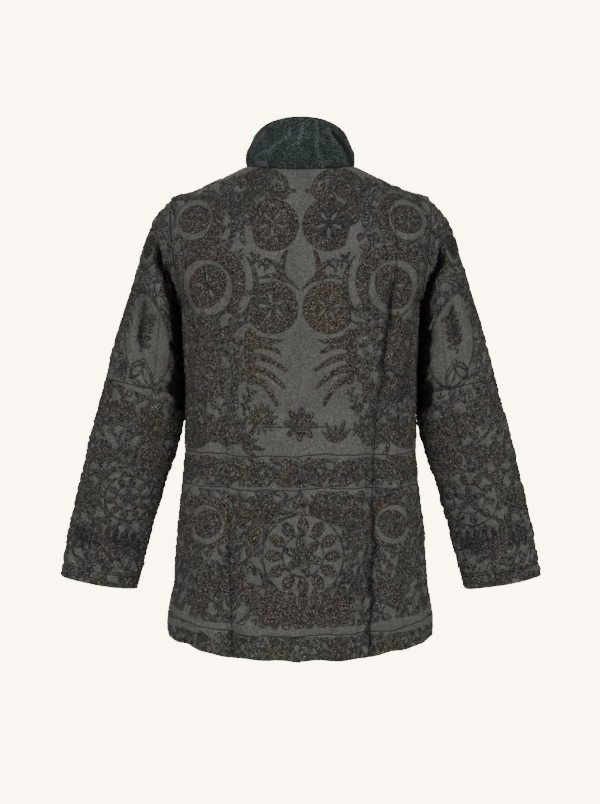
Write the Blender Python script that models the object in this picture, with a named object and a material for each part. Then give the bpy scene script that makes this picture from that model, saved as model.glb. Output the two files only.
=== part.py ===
"""A hip-length coat of embroidered cloth with a tall standing collar, hollow and filled out.

The coat hangs as on shoulders. The origin is the middle of the neck opening, level with the
points where the shoulder seams meet the collar. +Z is up and the front faces -Y, so the left
sleeve is on +X. Each cut piece is its own wall of cloth, lofted through sections.
"""

import math
from collections import namedtuple

import bmesh
import bpy
import numpy as np

CLOTH = 0.0026
COLLAR_CLOTH = 0.0030
SEAM_GAP = 0.0005
FRONT_GAP_TOP = 0.003
FRONT_GAP_HEM = 0.012
STEP = 1e-3

# Body levels from hem to neck: heights at the side, centre back and centre front, half the
# width, how far the back and front stand out, the squareness, and where the back seam lies.
Level = namedtuple("Level", "z_side z_back z_front half_width y_back y_front square seam_x")
BODY = [
    Level(-0.7680, -0.7880, -0.7820, 0.2185, 0.141, -0.138, 2.30, 0.1120),
    Level(-0.7320, -0.7480, -0.7440, 0.2190, 0.138, -0.136, 2.30, 0.1130),
    Level(-0.6800, -0.6800, -0.6800, 0.2095, 0.131, -0.132, 2.30, 0.1150),
    Level(-0.6000, -0.6000, -0.6000, 0.2040, 0.121, -0.127, 2.30, 0.1180),
    Level(-0.5200, -0.5200, -0.5200, 0.1955, 0.110, -0.121, 2.30, 0.1190),
    Level(-0.4500, -0.4500, -0.4500, 0.1905, 0.102, -0.115, 2.30, 0.1200),
    Level(-0.3800, -0.3800, -0.3800, 0.1893, 0.101, -0.114, 2.35, 0.1240),
    Level(-0.3000, -0.3000, -0.3000, 0.1912, 0.109, -0.121, 2.55, 0.1345),
    Level(-0.2180, -0.2180, -0.2180, 0.1945, 0.117, -0.125, 2.90, 0.1435),
    Level(-0.1650, -0.1660, -0.1740, 0.2040, 0.119, -0.120, 3.60, 0.1470),
    Level(-0.1050, -0.1120, -0.1380, 0.2135, 0.114, -0.110, 3.20, 0.1480),
    Level(-0.0544, -0.0740, -0.1150, 0.2120, 0.106, -0.101, 1.75, 0.1480),
    Level(-0.0425, -0.0515, -0.1020, 0.1800, 0.097, -0.095, 1.75, 0.1480),
    Level(-0.0225, -0.0295, -0.0910, 0.1340, 0.084, -0.086, 1.90, 0.1480),
    Level(0.0000, -0.0080, -0.0800, 0.0870, 0.068, -0.076, 2.15, 0.1480),
]
HEM, ARMPIT, SHOULDER, NECK = 0, 8, 11, 14
BACK_FALL, FRONT_FALL = 2.0, 1.75

# Armhole: half its depth from front to back, how egg-shaped it is, and how far it bows out.
HOLE_DEPTH = 0.071
HOLE_EGG, HOLE_BOW = 0.18, 0.002
HOLE_BLEND = 0.8

# Sleeve stations from armhole to cuff, as the outer and inner line of the arm seen from behind,
# half the depth from front to back, the middle's place in Y, and the squareness.
Station = namedtuple("Station", "outer_x outer_z inner_x inner_z depth y_mid square")
SLEEVE = [
    Station(0.2120, -0.0544, 0.1945, -0.2180, 0.0710, 0.000, 2.0),
    Station(0.2187, -0.0615, 0.1980, -0.2205, 0.0712, -0.003, 2.0),
    Station(0.2345, -0.0800, 0.2008, -0.2265, 0.0705, -0.007, 2.0),
    Station(0.2481, -0.1060, 0.2022, -0.2360, 0.0695, -0.012, 2.0),
    Station(0.2596, -0.1360, 0.2005, -0.2500, 0.0675, -0.017, 2.0),
    Station(0.2714, -0.1710, 0.1975, -0.2700, 0.0650, -0.022, 2.0),
    Station(0.2842, -0.2095, 0.1952, -0.2960, 0.0620, -0.032, 2.05),
    Station(0.2970, -0.2495, 0.1935, -0.3260, 0.0590, -0.040, 2.1),
    Station(0.3102, -0.2880, 0.1925, -0.3560, 0.0560, -0.045, 2.1),
    Station(0.3221, -0.3280, 0.1925, -0.3860, 0.0535, -0.047, 2.1),
    Station(0.3335, -0.3710, 0.1955, -0.4190, 0.0515, -0.048, 2.1),
    Station(0.3450, -0.4130, 0.2050, -0.4560, 0.0495, -0.049, 2.1),
    Station(0.3561, -0.4520, 0.2156, -0.4900, 0.0475, -0.050, 2.1),
    Station(0.3654, -0.4900, 0.2276, -0.5240, 0.0455, -0.051, 2.1),
    Station(0.3756, -0.5300, 0.2379, -0.5600, 0.0435, -0.052, 2.1),
    Station(0.3849, -0.5700, 0.2496, -0.5960, 0.0415, -0.053, 2.1),
    Station(0.3946, -0.6100, 0.2604, -0.6360, 0.0400, -0.054, 2.15),
    Station(0.4021, -0.6480, 0.2691, -0.6730, 0.0385, -0.055, 2.2),
    Station(0.4085, -0.6850, 0.2790, -0.7080, 0.0370, -0.057, 2.2),
]
HOLE_FADE = 3.0
CUFF = len(SLEEVE) - 1

# Collar rings from the neck seam to the top edge.
Ring = namedtuple("Ring", "z_side z_back z_front half_width y_back y_front back_fall front_fall")
COLLAR = [
    Ring(0.0000, -0.0080, -0.0800, 0.0870, 0.0680, -0.0760, 2.00, 1.75),
    Ring(0.0110, 0.0135, -0.0650, 0.0868, 0.0690, -0.0790, 1.50, 1.55),
    Ring(0.0225, 0.0360, -0.0500, 0.0850, 0.0685, -0.0815, 1.30, 1.35),
    Ring(0.0325, 0.0575, -0.0370, 0.0800, 0.0660, -0.0835, 1.20, 1.20),
    Ring(0.0405, 0.0750, -0.0270, 0.0760, 0.0630, -0.0850, 1.25, 1.10),
]
COLLAR_SQUARE = 2.15

# Folds pressed into the cloth: side of the coat, where each starts and ends as an angle in
# degrees and a body level or sleeve station, half its width and its depth. Folds whose angle is
# SEAM run down the back seam.
Fold = namedtuple("Fold", "side from_angle from_row to_angle to_row width depth")
SEAM = None
BODY_FOLDS = [
    Fold(+1, SEAM, -2.0, SEAM, 5.6, 0.016, 0.0085),
    Fold(-1, SEAM, -2.0, SEAM, 6.4, 0.014, 0.0110),
    Fold(-1, SEAM, 6.4, SEAM, 9.6, 0.013, 0.0045),
    Fold(+1, SEAM, 5.6, SEAM, 8.2, 0.015, 0.0035),
    Fold(+1, 30, 4.4, 20, 7.8, 0.014, 0.0035),
    Fold(-1, 34, 5.0, 24, 8.2, 0.013, 0.0040),
    Fold(+1, -40, -2.0, -34, 4.6, 0.022, 0.0080),
    Fold(-1, -44, -2.0, -36, 5.2, 0.020, 0.0070),
    Fold(+1, -30, 4.8, -18, 8.2, 0.014, 0.0035),
    Fold(-1, -26, 5.2, -20, 8.0, 0.014, 0.0035),
]
BODY_STEPS = (0.0030, 0.070)
SLEEVE_FOLDS = [
    Fold(+1, 130, 3.6, 10, 0.8, 0.018, 0.022),
    Fold(-1, 126, 3.4, 10, 0.8, 0.018, 0.022),
    Fold(+1, -126, 3.4, -14, 1.0, 0.018, 0.017),
    Fold(-1, -130, 3.6, -14, 1.0, 0.018, 0.017),
    Fold(+1, 118, 4.6, 108, 8.1, 0.013, 0.0085),
    Fold(-1, 96, 4.8, 104, 7.6, 0.013, 0.0075),
    Fold(+1, 10, 5.6, 76, 4.6, 0.014, 0.006),
    Fold(-1, 8, 5.2, 70, 6.4, 0.014, 0.006),
    Fold(+1, 8, 8.6, 90, 8.9, 0.014, 0.005),
    Fold(-1, 6, 9.2, 86, 8.5, 0.014, 0.005),
    Fold(+1, -12, 8.2, -100, 9.2, 0.014, 0.006),
    Fold(-1, -10, 8.8, -96, 8.2, 0.014, 0.006),
]
SLEEVE_STEPS = (0.0011, 0.040)
FOLD_END = 0.35

# How the pieces are cut up into rows and columns.
SKIRT_ROWS = [0, 0.55, 0.9, 1.15, 1.6, 2, 2.5, 3, 3.5, 4, 4.5, 5, 5.5, 6, 6.5, 7, 7.5]
HOLE_ANGLES = [0, 20, 36, 50, 64, 78, 92, 106, 120, 134, 148, 164, 180]
BACK_COLUMNS = [0, 0.07, 0.16, 0.27, 0.385, 0.5, 0.615, 0.73, 0.84, 0.93, 1]
BACK_SIDE_COLUMNS = [0, 0.17, 0.36, 0.56, 0.74, 0.89, 1]
FRONT_COLUMNS = [0, 0.1, 0.2, 0.3, 0.4, 0.5, 0.6, 0.7, 0.8, 0.9, 1]
HIND_SEAM, FORE_SEAM = 5, 19
SLEEVE_ROWS = [0, 0.4, 0.8, 1.2, 1.6, 2, 2.4, 2.8, 3.2, 3.6, 4, 4.5, 5, 5.5, 6, 6.5, 7, 7.5, 8, 8.5, 9]
CUFF_STITCH = 17.4

CLOTH_COLOUR = (0.064, 0.059, 0.050, 1)
COLLAR_COLOUR = (0.024, 0.038, 0.033, 1)
ROUGHNESS = 0.92

HALF_TURN = math.pi
QUARTER_TURN = math.pi / 2


def through(table, column, at):
    """The smooth curve through one named column of a table, read at row positions."""
    values = np.array([getattr(row, column) for row in table], float)
    at = np.clip(np.asarray(at, float), 0, len(values) - 1)
    first = np.minimum(at.astype(int), len(values) - 2)
    share = at - first
    slopes = np.gradient(values)
    rise = values[first + 1] - values[first]
    start, end = slopes[first], slopes[first + 1]
    bend = share * (1 - share)
    return values[first] + share * rise + bend * ((1 - share) * (start - rise) - share * (end - rise))


def at_value(function, target, low, high):
    """Where a falling function reaches the target between low and high."""
    low = np.zeros_like(target) + low
    high = np.zeros_like(target) + high
    for _ in range(40):
        middle = (low + high) / 2
        above = function(middle) > target
        low = np.where(above, middle, low)
        high = np.where(above, high, middle)
    return (low + high) / 2


def round_off(angle, square):
    """Cosine and sine shares of a rounded-off box section."""
    cosine, sine = np.cos(angle), np.sin(angle)
    size = (np.abs(cosine) ** square + np.abs(sine) ** square) ** (-1 / square)
    return cosine * size, sine * size


def unit(vectors):
    return vectors / np.linalg.norm(vectors, axis=-1, keepdims=True)


def pressed_in(folds, side, angle, row, steps, seam=0):
    """How deep the folds of one side press at an angle in degrees and a row."""
    total = np.zeros_like(row)
    for fold in folds:
        if fold.side != side:
            continue
        on_seam = fold.from_angle is SEAM
        start = np.array([0 if on_seam else fold.from_angle * steps[0], fold.from_row * steps[1]])
        end = np.array([0 if on_seam else fold.to_angle * steps[0], fold.to_row * steps[1]])
        across = (angle - seam if on_seam else angle) * steps[0] - start[0]
        along = row * steps[1] - start[1]
        line = end - start
        length = np.hypot(*line)
        share = (across * line[0] + along * line[1]) / length**2
        apart = (across * line[1] - along * line[0]) / length
        ends = np.clip(np.minimum(share, 1 - share) / FOLD_END, 0, 1)
        total += fold.depth * np.exp(-((apart / fold.width) ** 2)) * ends * ends * (3 - 2 * ends)
    return total


def ring_point(level, angle):
    """A point on the body's plain form. Angle 0 is the left side and a quarter turn the back."""
    across, along = round_off(angle, through(BODY, "square", level))
    x = through(BODY, "half_width", level) * across
    back = along > 0
    y = np.where(back, through(BODY, "y_back", level) * along, -through(BODY, "y_front", level) * along)
    side = through(BODY, "z_side", level)
    falls = np.where(
        back,
        (through(BODY, "z_back", level) - side) * np.abs(along) ** BACK_FALL,
        (through(BODY, "z_front", level) - side) * np.abs(along) ** FRONT_FALL,
    )
    return np.stack([x, y, side + falls], axis=-1)


def hole_turn(level):
    """The armhole's own angle, 0 under the arm and a half turn at the shoulder, at a level."""
    low, high = BODY[ARMPIT].z_side, BODY[SHOULDER].z_side
    share = (through(BODY, "z_side", np.clip(level, ARMPIT, SHOULDER)) - low) / (high - low)
    return np.arccos(np.clip(1 - 2 * share, -1, 1))


def hole_level(turn):
    """The body level of an armhole angle."""
    low, high = BODY[ARMPIT].z_side, BODY[SHOULDER].z_side
    height = low + (high - low) * (1 - np.cos(turn)) / 2
    return at_value(lambda level: -through(BODY, "z_side", level), -height, ARMPIT, SHOULDER)


def hole_point(turn):
    """The left armhole seam. Positive angles run up its back and negative ones up its front."""
    start = np.array([BODY[ARMPIT].half_width, 0, BODY[ARMPIT].z_side])
    end = np.array([BODY[SHOULDER].half_width, 0, BODY[SHOULDER].z_side])
    share = (1 - np.cos(turn)) / 2
    point = start + (end - start) * share[..., None]
    point[..., 0] += HOLE_BOW * np.sin(turn) ** 2
    point[..., 1] += HOLE_DEPTH * np.sin(turn) * (1 + HOLE_EGG * np.cos(turn))
    return point


def hole_angle(level, front):
    """The body angle where the armhole seam crosses a level, and 0 away from the armhole."""
    turn = hole_turn(level) * (-1 if front else 1)
    reach = through(BODY, "y_front" if front else "y_back", level)
    share = np.clip(hole_point(turn)[..., 1] / reach, 0, 1)
    square = through(BODY, "square", level)
    found = at_value(lambda a: -round_off(a, square)[1], -share, 0, QUARTER_TURN)
    open_here = (level > ARMPIT) & (level < SHOULDER)
    return np.where(open_here, found * (-1 if front else 1), 0.0)


def seam_angle(level):
    """The body angle of the back seam, 0 where it has reached the shoulder seam."""
    square = through(BODY, "square", level)
    share = np.clip(through(BODY, "seam_x", level) / through(BODY, "half_width", level), 0, 1)
    return at_value(lambda a: round_off(a, square)[0], share, 0, QUARTER_TURN)


def seam_end():
    """The level where the back seam meets the shoulder seam."""
    return float(
        at_value(
            lambda level: through(BODY, "half_width", level),
            np.array(BODY[SHOULDER].seam_x),
            SHOULDER,
            NECK,
        )
    )


def plain_point(level, angle):
    """The body's form with the armhole pulled out to its seam, on the left half."""
    point = ring_point(level, angle)
    for front in (False, True):
        edge = hole_angle(level, front)
        pull = hole_point(hole_turn(level) * (-1 if front else 1)) - ring_point(level, edge)
        share = np.clip(np.abs(angle - edge) / HOLE_BLEND, 0, 1)
        inside = np.abs(angle) < np.abs(edge)
        weight = np.where(inside, 1, (1 - share) ** 2 * (1 + 2 * share))
        here = (angle < 0) == front
        open_here = (level > ARMPIT) & (level < SHOULDER)
        point = point + pull * (weight * here * open_here)[..., None]
    return point


def normals_of(surface, first, second):
    """Outward normals of a surface function of two numbers."""
    along_second = surface(first, second + STEP) - surface(first, second - STEP)
    along_first = surface(first + STEP, second) - surface(first - STEP, second)
    return unit(np.cross(along_second, along_first))


def body_half(level, angle, side):
    """A point on the left half's cloth. Side says whose folds it has."""
    level, angle = np.broadcast_arrays(np.asarray(level, float), np.asarray(angle, float))
    point = plain_point(level, angle)
    seam = np.degrees(seam_angle(level))
    pressed = pressed_in(BODY_FOLDS, side, np.degrees(angle), level, BODY_STEPS, seam)
    outward = normals_of(plain_point, np.clip(level, STEP, NECK - STEP), angle)
    return point - outward * pressed[..., None]


def body_point(level, angle):
    """A point on the whole body. Angles past a quarter turn are the right half."""
    right = np.abs(angle) > QUARTER_TURN
    own = np.where(right, np.sign(angle) * HALF_TURN - angle, angle)
    left_half = body_half(level, own, +1)
    right_half = body_half(level, own, -1) * np.array([-1, 1, 1])
    return np.where(right[..., None], right_half, left_half)


def sleeve_point(station, turn, side):
    """A point on the left sleeve's cloth. Side says whose folds it has."""
    station, turn = np.broadcast_arrays(np.asarray(station, float), np.asarray(turn, float))
    across, along = round_off(turn, through(SLEEVE, "square", station))
    outer = np.stack([through(SLEEVE, "outer_x", station), through(SLEEVE, "outer_z", station)], -1)
    inner = np.stack([through(SLEEVE, "inner_x", station), through(SLEEVE, "inner_z", station)], -1)
    middle, half = (outer + inner) / 2, (outer - inner) / 2
    fade = np.clip(1 - station / HOLE_FADE, 0, 1)
    depth = through(SLEEVE, "depth", station)
    apart = (np.degrees(turn) + 180) % 360 - 180
    shrink = 1 - pressed_in(SLEEVE_FOLDS, side, apart, station, SLEEVE_STEPS) / depth
    flat = middle - half * (across * shrink)[..., None]
    x = flat[..., 0] + HOLE_BOW * np.sin(turn) ** 2 * fade
    y = through(SLEEVE, "y_mid", station) + depth * along * shrink * (1 + HOLE_EGG * np.cos(turn) * fade)
    return np.stack([x, y, flat[..., 1]], axis=-1)


def collar_point(height, angle):
    """A point on the collar. Height runs over the rows of its table."""
    across, along = round_off(angle, COLLAR_SQUARE)
    back = along > 0
    side = through(COLLAR, "z_side", height)
    reach = np.where(back, through(COLLAR, "y_back", height), -through(COLLAR, "y_front", height))
    rise = np.where(back, through(COLLAR, "z_back", height), through(COLLAR, "z_front", height)) - side
    power = np.where(back, through(COLLAR, "back_fall", height), through(COLLAR, "front_fall", height))
    z = side + rise * np.abs(along) ** power
    return np.stack([through(COLLAR, "half_width", height) * across, reach * along, z], axis=-1)


def moved_in(points, edges):
    """The sheet with the named edges drawn in by half a seam gap, square to the seam."""
    moved = points.copy()
    for edge in edges:
        axis = 0 if edge in ("bottom", "top") else 1
        at = 0 if edge in ("bottom", "left") else -1
        line = np.take(points, at, axis)
        inside = np.take(points, 1 if at == 0 else -2, axis)
        tangent = unit(np.gradient(line, axis=0))
        inward = inside - line
        inward = inward - tangent * (inward * tangent).sum(-1, keepdims=True)
        size = np.linalg.norm(inward, axis=-1, keepdims=True)
        shift = inward / np.maximum(size, STEP * STEP) * SEAM_GAP / 2
        if axis == 0:
            moved[at] += shift
        else:
            moved[:, at] += shift
    return moved


def cloth_wall(name, points, normals, thickness, material, collection, mirror=False):
    """One closed wall of cloth from a sheet of points, rows first, and their normals."""
    if mirror:
        flip = np.array([-1, 1, 1])
        points, normals = points * flip, normals * flip
    mesh = bpy.data.meshes.new(name)
    shell = bmesh.new()
    rows, columns = points.shape[:2]
    layers = []
    for reach in (thickness / 2, -thickness / 2):
        grid = points + normals * reach
        layers.append([[shell.verts.new(grid[i, j]) for j in range(columns)] for i in range(rows)])
    for layer in layers:
        for i in range(rows - 1):
            for j in range(columns - 1):
                shell.faces.new([layer[i][j], layer[i][j + 1], layer[i + 1][j + 1], layer[i + 1][j]])
    loop = [(0, j) for j in range(columns)]
    loop += [(i, columns - 1) for i in range(1, rows)]
    loop += [(rows - 1, j) for j in range(columns - 2, -1, -1)]
    loop += [(i, 0) for i in range(rows - 2, 0, -1)]
    outer, inner = layers
    for (i, j), (k, m) in zip(loop, loop[1:] + loop[:1]):
        shell.faces.new([outer[i][j], outer[k][m], inner[k][m], inner[i][j]])
    bmesh.ops.remove_doubles(shell, verts=shell.verts, dist=STEP * STEP)
    bmesh.ops.triangulate(shell, faces=shell.faces, quad_method="SHORT_EDGE")
    bmesh.ops.recalc_face_normals(shell, faces=shell.faces)
    shell.to_mesh(mesh)
    shell.free()
    mesh.shade_smooth()
    mesh.set_sharp_from_angle(angle=math.radians(40))
    mesh.materials.append(material)
    piece = bpy.data.objects.new(name, mesh)
    collection.objects.link(piece)
    return piece


def body_panel(levels, columns, left_edge, right_edge, side):
    """The sheet of a body piece between two edges, given as angles at each level."""
    share = np.array(columns)
    angles = left_edge[:, None] * (1 - share) + right_edge[:, None] * share
    surface = body_point if side == 0 else lambda level, angle: body_half(level, angle, side)
    grid_levels = np.repeat(levels[:, None], len(share), axis=1)
    within = np.clip(grid_levels, STEP, NECK - STEP)
    return surface(grid_levels, angles), normals_of(surface, within, angles)


def hole_normals(turns, side):
    """Normals on the armhole seam, halfway between the body's and the sleeve's."""
    levels = hole_level(np.abs(turns))
    front = turns < 0
    angles = np.where(front, hole_angle(levels, True), hole_angle(levels, False))
    on_body = normals_of(lambda a, b: body_half(a, b, side), levels, angles)
    start = np.zeros_like(turns) + STEP
    on_sleeve = normals_of(lambda a, b: sleeve_point(a, b, side), start, turns)
    return unit(on_body + on_sleeve)


def neck_normals(angles):
    """Normals on the neck seam, halfway between the body's and the collar's."""
    top = np.zeros_like(angles) + NECK - STEP
    foot = np.zeros_like(angles) + STEP
    return unit(normals_of(body_point, top, angles) + normals_of(collar_point, foot, angles))


def new_material(name, colour):
    material = bpy.data.materials.new(name)
    material.use_nodes = True
    shader = material.node_tree.nodes["Principled BSDF"]
    shader.inputs["Base Color"].default_value = colour
    shader.inputs["Roughness"].default_value = ROUGHNESS
    shader.inputs["Metallic"].default_value = 0
    return material


def clear_scene():
    for thing in list(bpy.data.objects):
        bpy.data.objects.remove(thing)


def body_rows():
    """Levels of the body's rows: skirt, armhole, shoulder, and the back seam's end among them."""
    hole = hole_level(np.radians(HOLE_ANGLES))
    hole[0], hole[-1] = ARMPIT, SHOULDER
    end = seam_end()
    above = [SHOULDER + 0.5, SHOULDER + 1, end, SHOULDER + 2, SHOULDER + 2.5, NECK]
    return np.array(SKIRT_ROWS + list(hole) + above), len(SKIRT_ROWS)


def make_body(material, collection):
    """Back, two back sides and two fronts."""
    levels, hole_start = body_rows()
    hole_rows = slice(hole_start, hole_start + len(HOLE_ANGLES))
    turns = np.radians(HOLE_ANGLES)
    seam_row = int(np.argmin(np.abs(levels - seam_end())))

    seam = seam_angle(levels)
    seam[seam_row:] = 0
    points, normals = body_panel(levels, BACK_COLUMNS, seam, HALF_TURN - seam, 0)
    normals[-1] = neck_normals(HALF_TURN * np.array(BACK_COLUMNS))
    points = moved_in(points, ("left", "right", "top"))
    cloth_wall("back", points, normals, CLOTH, material, collection)

    for side, word in ((+1, "left"), (-1, "right")):
        mirror = side < 0
        own = levels[: seam_row + 1]
        edge = hole_angle(own, False)
        points, normals = body_panel(own, BACK_SIDE_COLUMNS, edge, seam[: seam_row + 1], side)
        normals[hole_rows, 0] = hole_normals(turns, side)
        points = moved_in(points, ("left", "right"))
        below = points[-2].mean(0)
        points[-1] = points[-1, 0] + unit(below - points[-1, 0]) * SEAM_GAP
        cloth_wall(f"back_side_{word}", points, normals, CLOTH, material, collection, mirror)

        edge = hole_angle(levels, True)
        gap = np.interp(levels, [HEM, NECK], [FRONT_GAP_HEM, FRONT_GAP_TOP])
        centre = -QUARTER_TURN + gap / 2 / through(BODY, "half_width", levels)
        points, normals = body_panel(levels, FRONT_COLUMNS, edge, centre, side)
        normals[hole_rows, 0] = hole_normals(-turns, side)
        neck_angles = centre[-1] * np.array(FRONT_COLUMNS)
        normals[-1] = neck_normals(neck_angles)
        points = moved_in(points, ("left", "top"))
        cloth_wall(f"front_{word}", points, normals, CLOTH, material, collection, mirror)
    return centre[-1]


def make_sleeves(material, collection):
    """Two pieces for each sleeve, the top one outside and the under one against the body."""
    turns = np.radians(HOLE_ANGLES + [360 - a for a in HOLE_ANGLES[-2::-1]])
    stations = np.array(SLEEVE_ROWS + list(range(10, CUFF)) + [CUFF_STITCH, CUFF])
    spans = {
        "sleeve_top": np.arange(HIND_SEAM, FORE_SEAM + 1),
        "sleeve_under": np.r_[np.arange(FORE_SEAM, len(turns) - 1), np.arange(0, HIND_SEAM + 1)],
    }
    for side, word in ((+1, "left"), (-1, "right")):
        grid = np.broadcast_arrays(stations[:, None], turns)
        surface = lambda station, turn, side=side: sleeve_point(station, turn, side)
        points = surface(*grid)
        normals = normals_of(surface, np.clip(grid[0], STEP, CUFF - STEP), grid[1])
        signed = (turns + HALF_TURN) % (2 * HALF_TURN) - HALF_TURN
        signed[turns == HALF_TURN] = HALF_TURN
        normals[0] = hole_normals(signed, side)
        for piece, columns in spans.items():
            sheet = moved_in(points[:, columns], ("left", "right", "bottom"))
            cloth_wall(f"{piece}_{word}", sheet, normals[:, columns], CLOTH, material, collection, side < 0)


def make_collar(front_end, material, collection):
    """The standing collar, open at the centre front."""
    front = front_end * np.array(FRONT_COLUMNS)[::-1]
    back = HALF_TURN * np.array(BACK_COLUMNS)
    other = HALF_TURN - front_end * np.array(FRONT_COLUMNS)
    angles = np.r_[front, back[1:], other[1:]]
    heights = np.arange(len(COLLAR), dtype=float)
    grid = np.broadcast_arrays(heights[:, None], angles)
    points = collar_point(*grid)
    normals = normals_of(collar_point, np.clip(grid[0], STEP, len(COLLAR) - 1 - STEP), grid[1])
    normals[0] = neck_normals(np.where(angles > HALF_TURN, angles - 2 * HALF_TURN, angles))
    points = moved_in(points, ("bottom",))
    cloth_wall("collar", points, normals, COLLAR_CLOTH, material, collection)


def main():
    clear_scene()
    coat = bpy.data.collections.new("Coat")
    bpy.context.scene.collection.children.link(coat)
    cloth = new_material("embroidered_cloth", CLOTH_COLOUR)
    pile = new_material("collar_pile", COLLAR_COLOUR)
    front_end = make_body(cloth, coat)
    make_sleeves(cloth, coat)
    make_collar(front_end, pile, coat)


main()
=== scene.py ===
# %% [markdown]
# # A coat of old embroidered cloth
# The coat is sewn from ten cut pieces of heavy cloth that is covered with chain stitch in the
# manner of Central Asian hangings: discs, rings, leaves, stars and curls with narrow channels of
# bare ground between them. The whole cloth has been dyed nearly black, so the threads show only
# as a speckle of browns. The collar is green pile. It hangs hollow, as on a wearer, seen from
# behind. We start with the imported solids, which give the frame that everything is placed in.

# %% Load the frame
import math
import random
from collections import namedtuple

import bmesh
import bpy
import numpy as np
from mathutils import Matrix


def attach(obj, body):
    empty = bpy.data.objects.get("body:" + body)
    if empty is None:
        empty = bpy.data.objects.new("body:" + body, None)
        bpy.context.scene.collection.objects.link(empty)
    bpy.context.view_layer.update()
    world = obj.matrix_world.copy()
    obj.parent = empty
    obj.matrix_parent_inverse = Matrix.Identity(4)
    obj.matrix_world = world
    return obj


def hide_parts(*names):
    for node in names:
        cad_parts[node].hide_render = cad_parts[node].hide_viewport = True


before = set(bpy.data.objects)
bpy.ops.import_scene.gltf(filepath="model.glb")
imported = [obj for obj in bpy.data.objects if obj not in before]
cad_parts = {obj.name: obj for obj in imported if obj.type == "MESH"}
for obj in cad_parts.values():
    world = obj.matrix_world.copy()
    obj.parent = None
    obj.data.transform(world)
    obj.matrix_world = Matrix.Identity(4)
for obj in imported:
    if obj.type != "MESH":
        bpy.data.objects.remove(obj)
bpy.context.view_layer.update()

PANELS = sorted(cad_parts)
print("pieces", PANELS)

# %% [markdown]
# ## Sizes that drive the rest
# Old quilted and stitched cloth is thick, about two and a half millimetres. `FINE` is how far
# apart the points of the visible cloth are. It is small enough for the stitched relief, and the
# motifs stay sharp because each point stores how far it is from a motif's edge, not a colour.

# %% Cloth sizes
CLOTH = 0.0026
COLLAR_CLOTH = 0.0030
FRONT_GAP_TOP, FRONT_GAP_HEM = 0.003, 0.012
STEP = 1e-3
FINE = 0.0022
COARSE = 4
MM = 0.001
HALF_TURN, QUARTER_TURN = math.pi, math.pi / 2
print("cloth", CLOTH / MM, "mm, points every", FINE / MM, "mm")

# %% [markdown]
# ## The form: sections through the coat
# A body that stands on a few level rings, and a sleeve on a few slanted ones, are how a cutter
# thinks of a coat. Each row below is one ring. The solids were lofted through the same rings, so
# the visible cloth lies exactly on them.

# %% Rings of the body, sleeve and collar
Level = namedtuple("Level", "z_side z_back z_front half_width y_back y_front square seam_x")
BODY = [
    Level(-0.7680, -0.7880, -0.7820, 0.2185, 0.141, -0.138, 2.30, 0.1120),
    Level(-0.7320, -0.7480, -0.7440, 0.2190, 0.138, -0.136, 2.30, 0.1130),
    Level(-0.6800, -0.6800, -0.6800, 0.2095, 0.131, -0.132, 2.30, 0.1150),
    Level(-0.6000, -0.6000, -0.6000, 0.2040, 0.121, -0.127, 2.30, 0.1180),
    Level(-0.5200, -0.5200, -0.5200, 0.1955, 0.110, -0.121, 2.30, 0.1190),
    Level(-0.4500, -0.4500, -0.4500, 0.1905, 0.102, -0.115, 2.30, 0.1200),
    Level(-0.3800, -0.3800, -0.3800, 0.1893, 0.101, -0.114, 2.35, 0.1240),
    Level(-0.3000, -0.3000, -0.3000, 0.1912, 0.109, -0.121, 2.55, 0.1345),
    Level(-0.2180, -0.2180, -0.2180, 0.1945, 0.117, -0.125, 2.90, 0.1435),
    Level(-0.1650, -0.1660, -0.1740, 0.2040, 0.119, -0.120, 3.60, 0.1470),
    Level(-0.1050, -0.1120, -0.1380, 0.2135, 0.114, -0.110, 3.20, 0.1480),
    Level(-0.0544, -0.0740, -0.1150, 0.2120, 0.106, -0.101, 1.75, 0.1480),
    Level(-0.0425, -0.0515, -0.1020, 0.1800, 0.097, -0.095, 1.75, 0.1480),
    Level(-0.0225, -0.0295, -0.0910, 0.1340, 0.084, -0.086, 1.90, 0.1480),
    Level(0.0000, -0.0080, -0.0800, 0.0870, 0.068, -0.076, 2.15, 0.1480),
]
HEM, ARMPIT, SHOULDER, NECK = 0, 8, 11, 14
BACK_FALL, FRONT_FALL = 2.0, 1.75
HOLE_DEPTH, HOLE_EGG, HOLE_BOW, HOLE_BLEND = 0.071, 0.18, 0.002, 0.8

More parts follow.
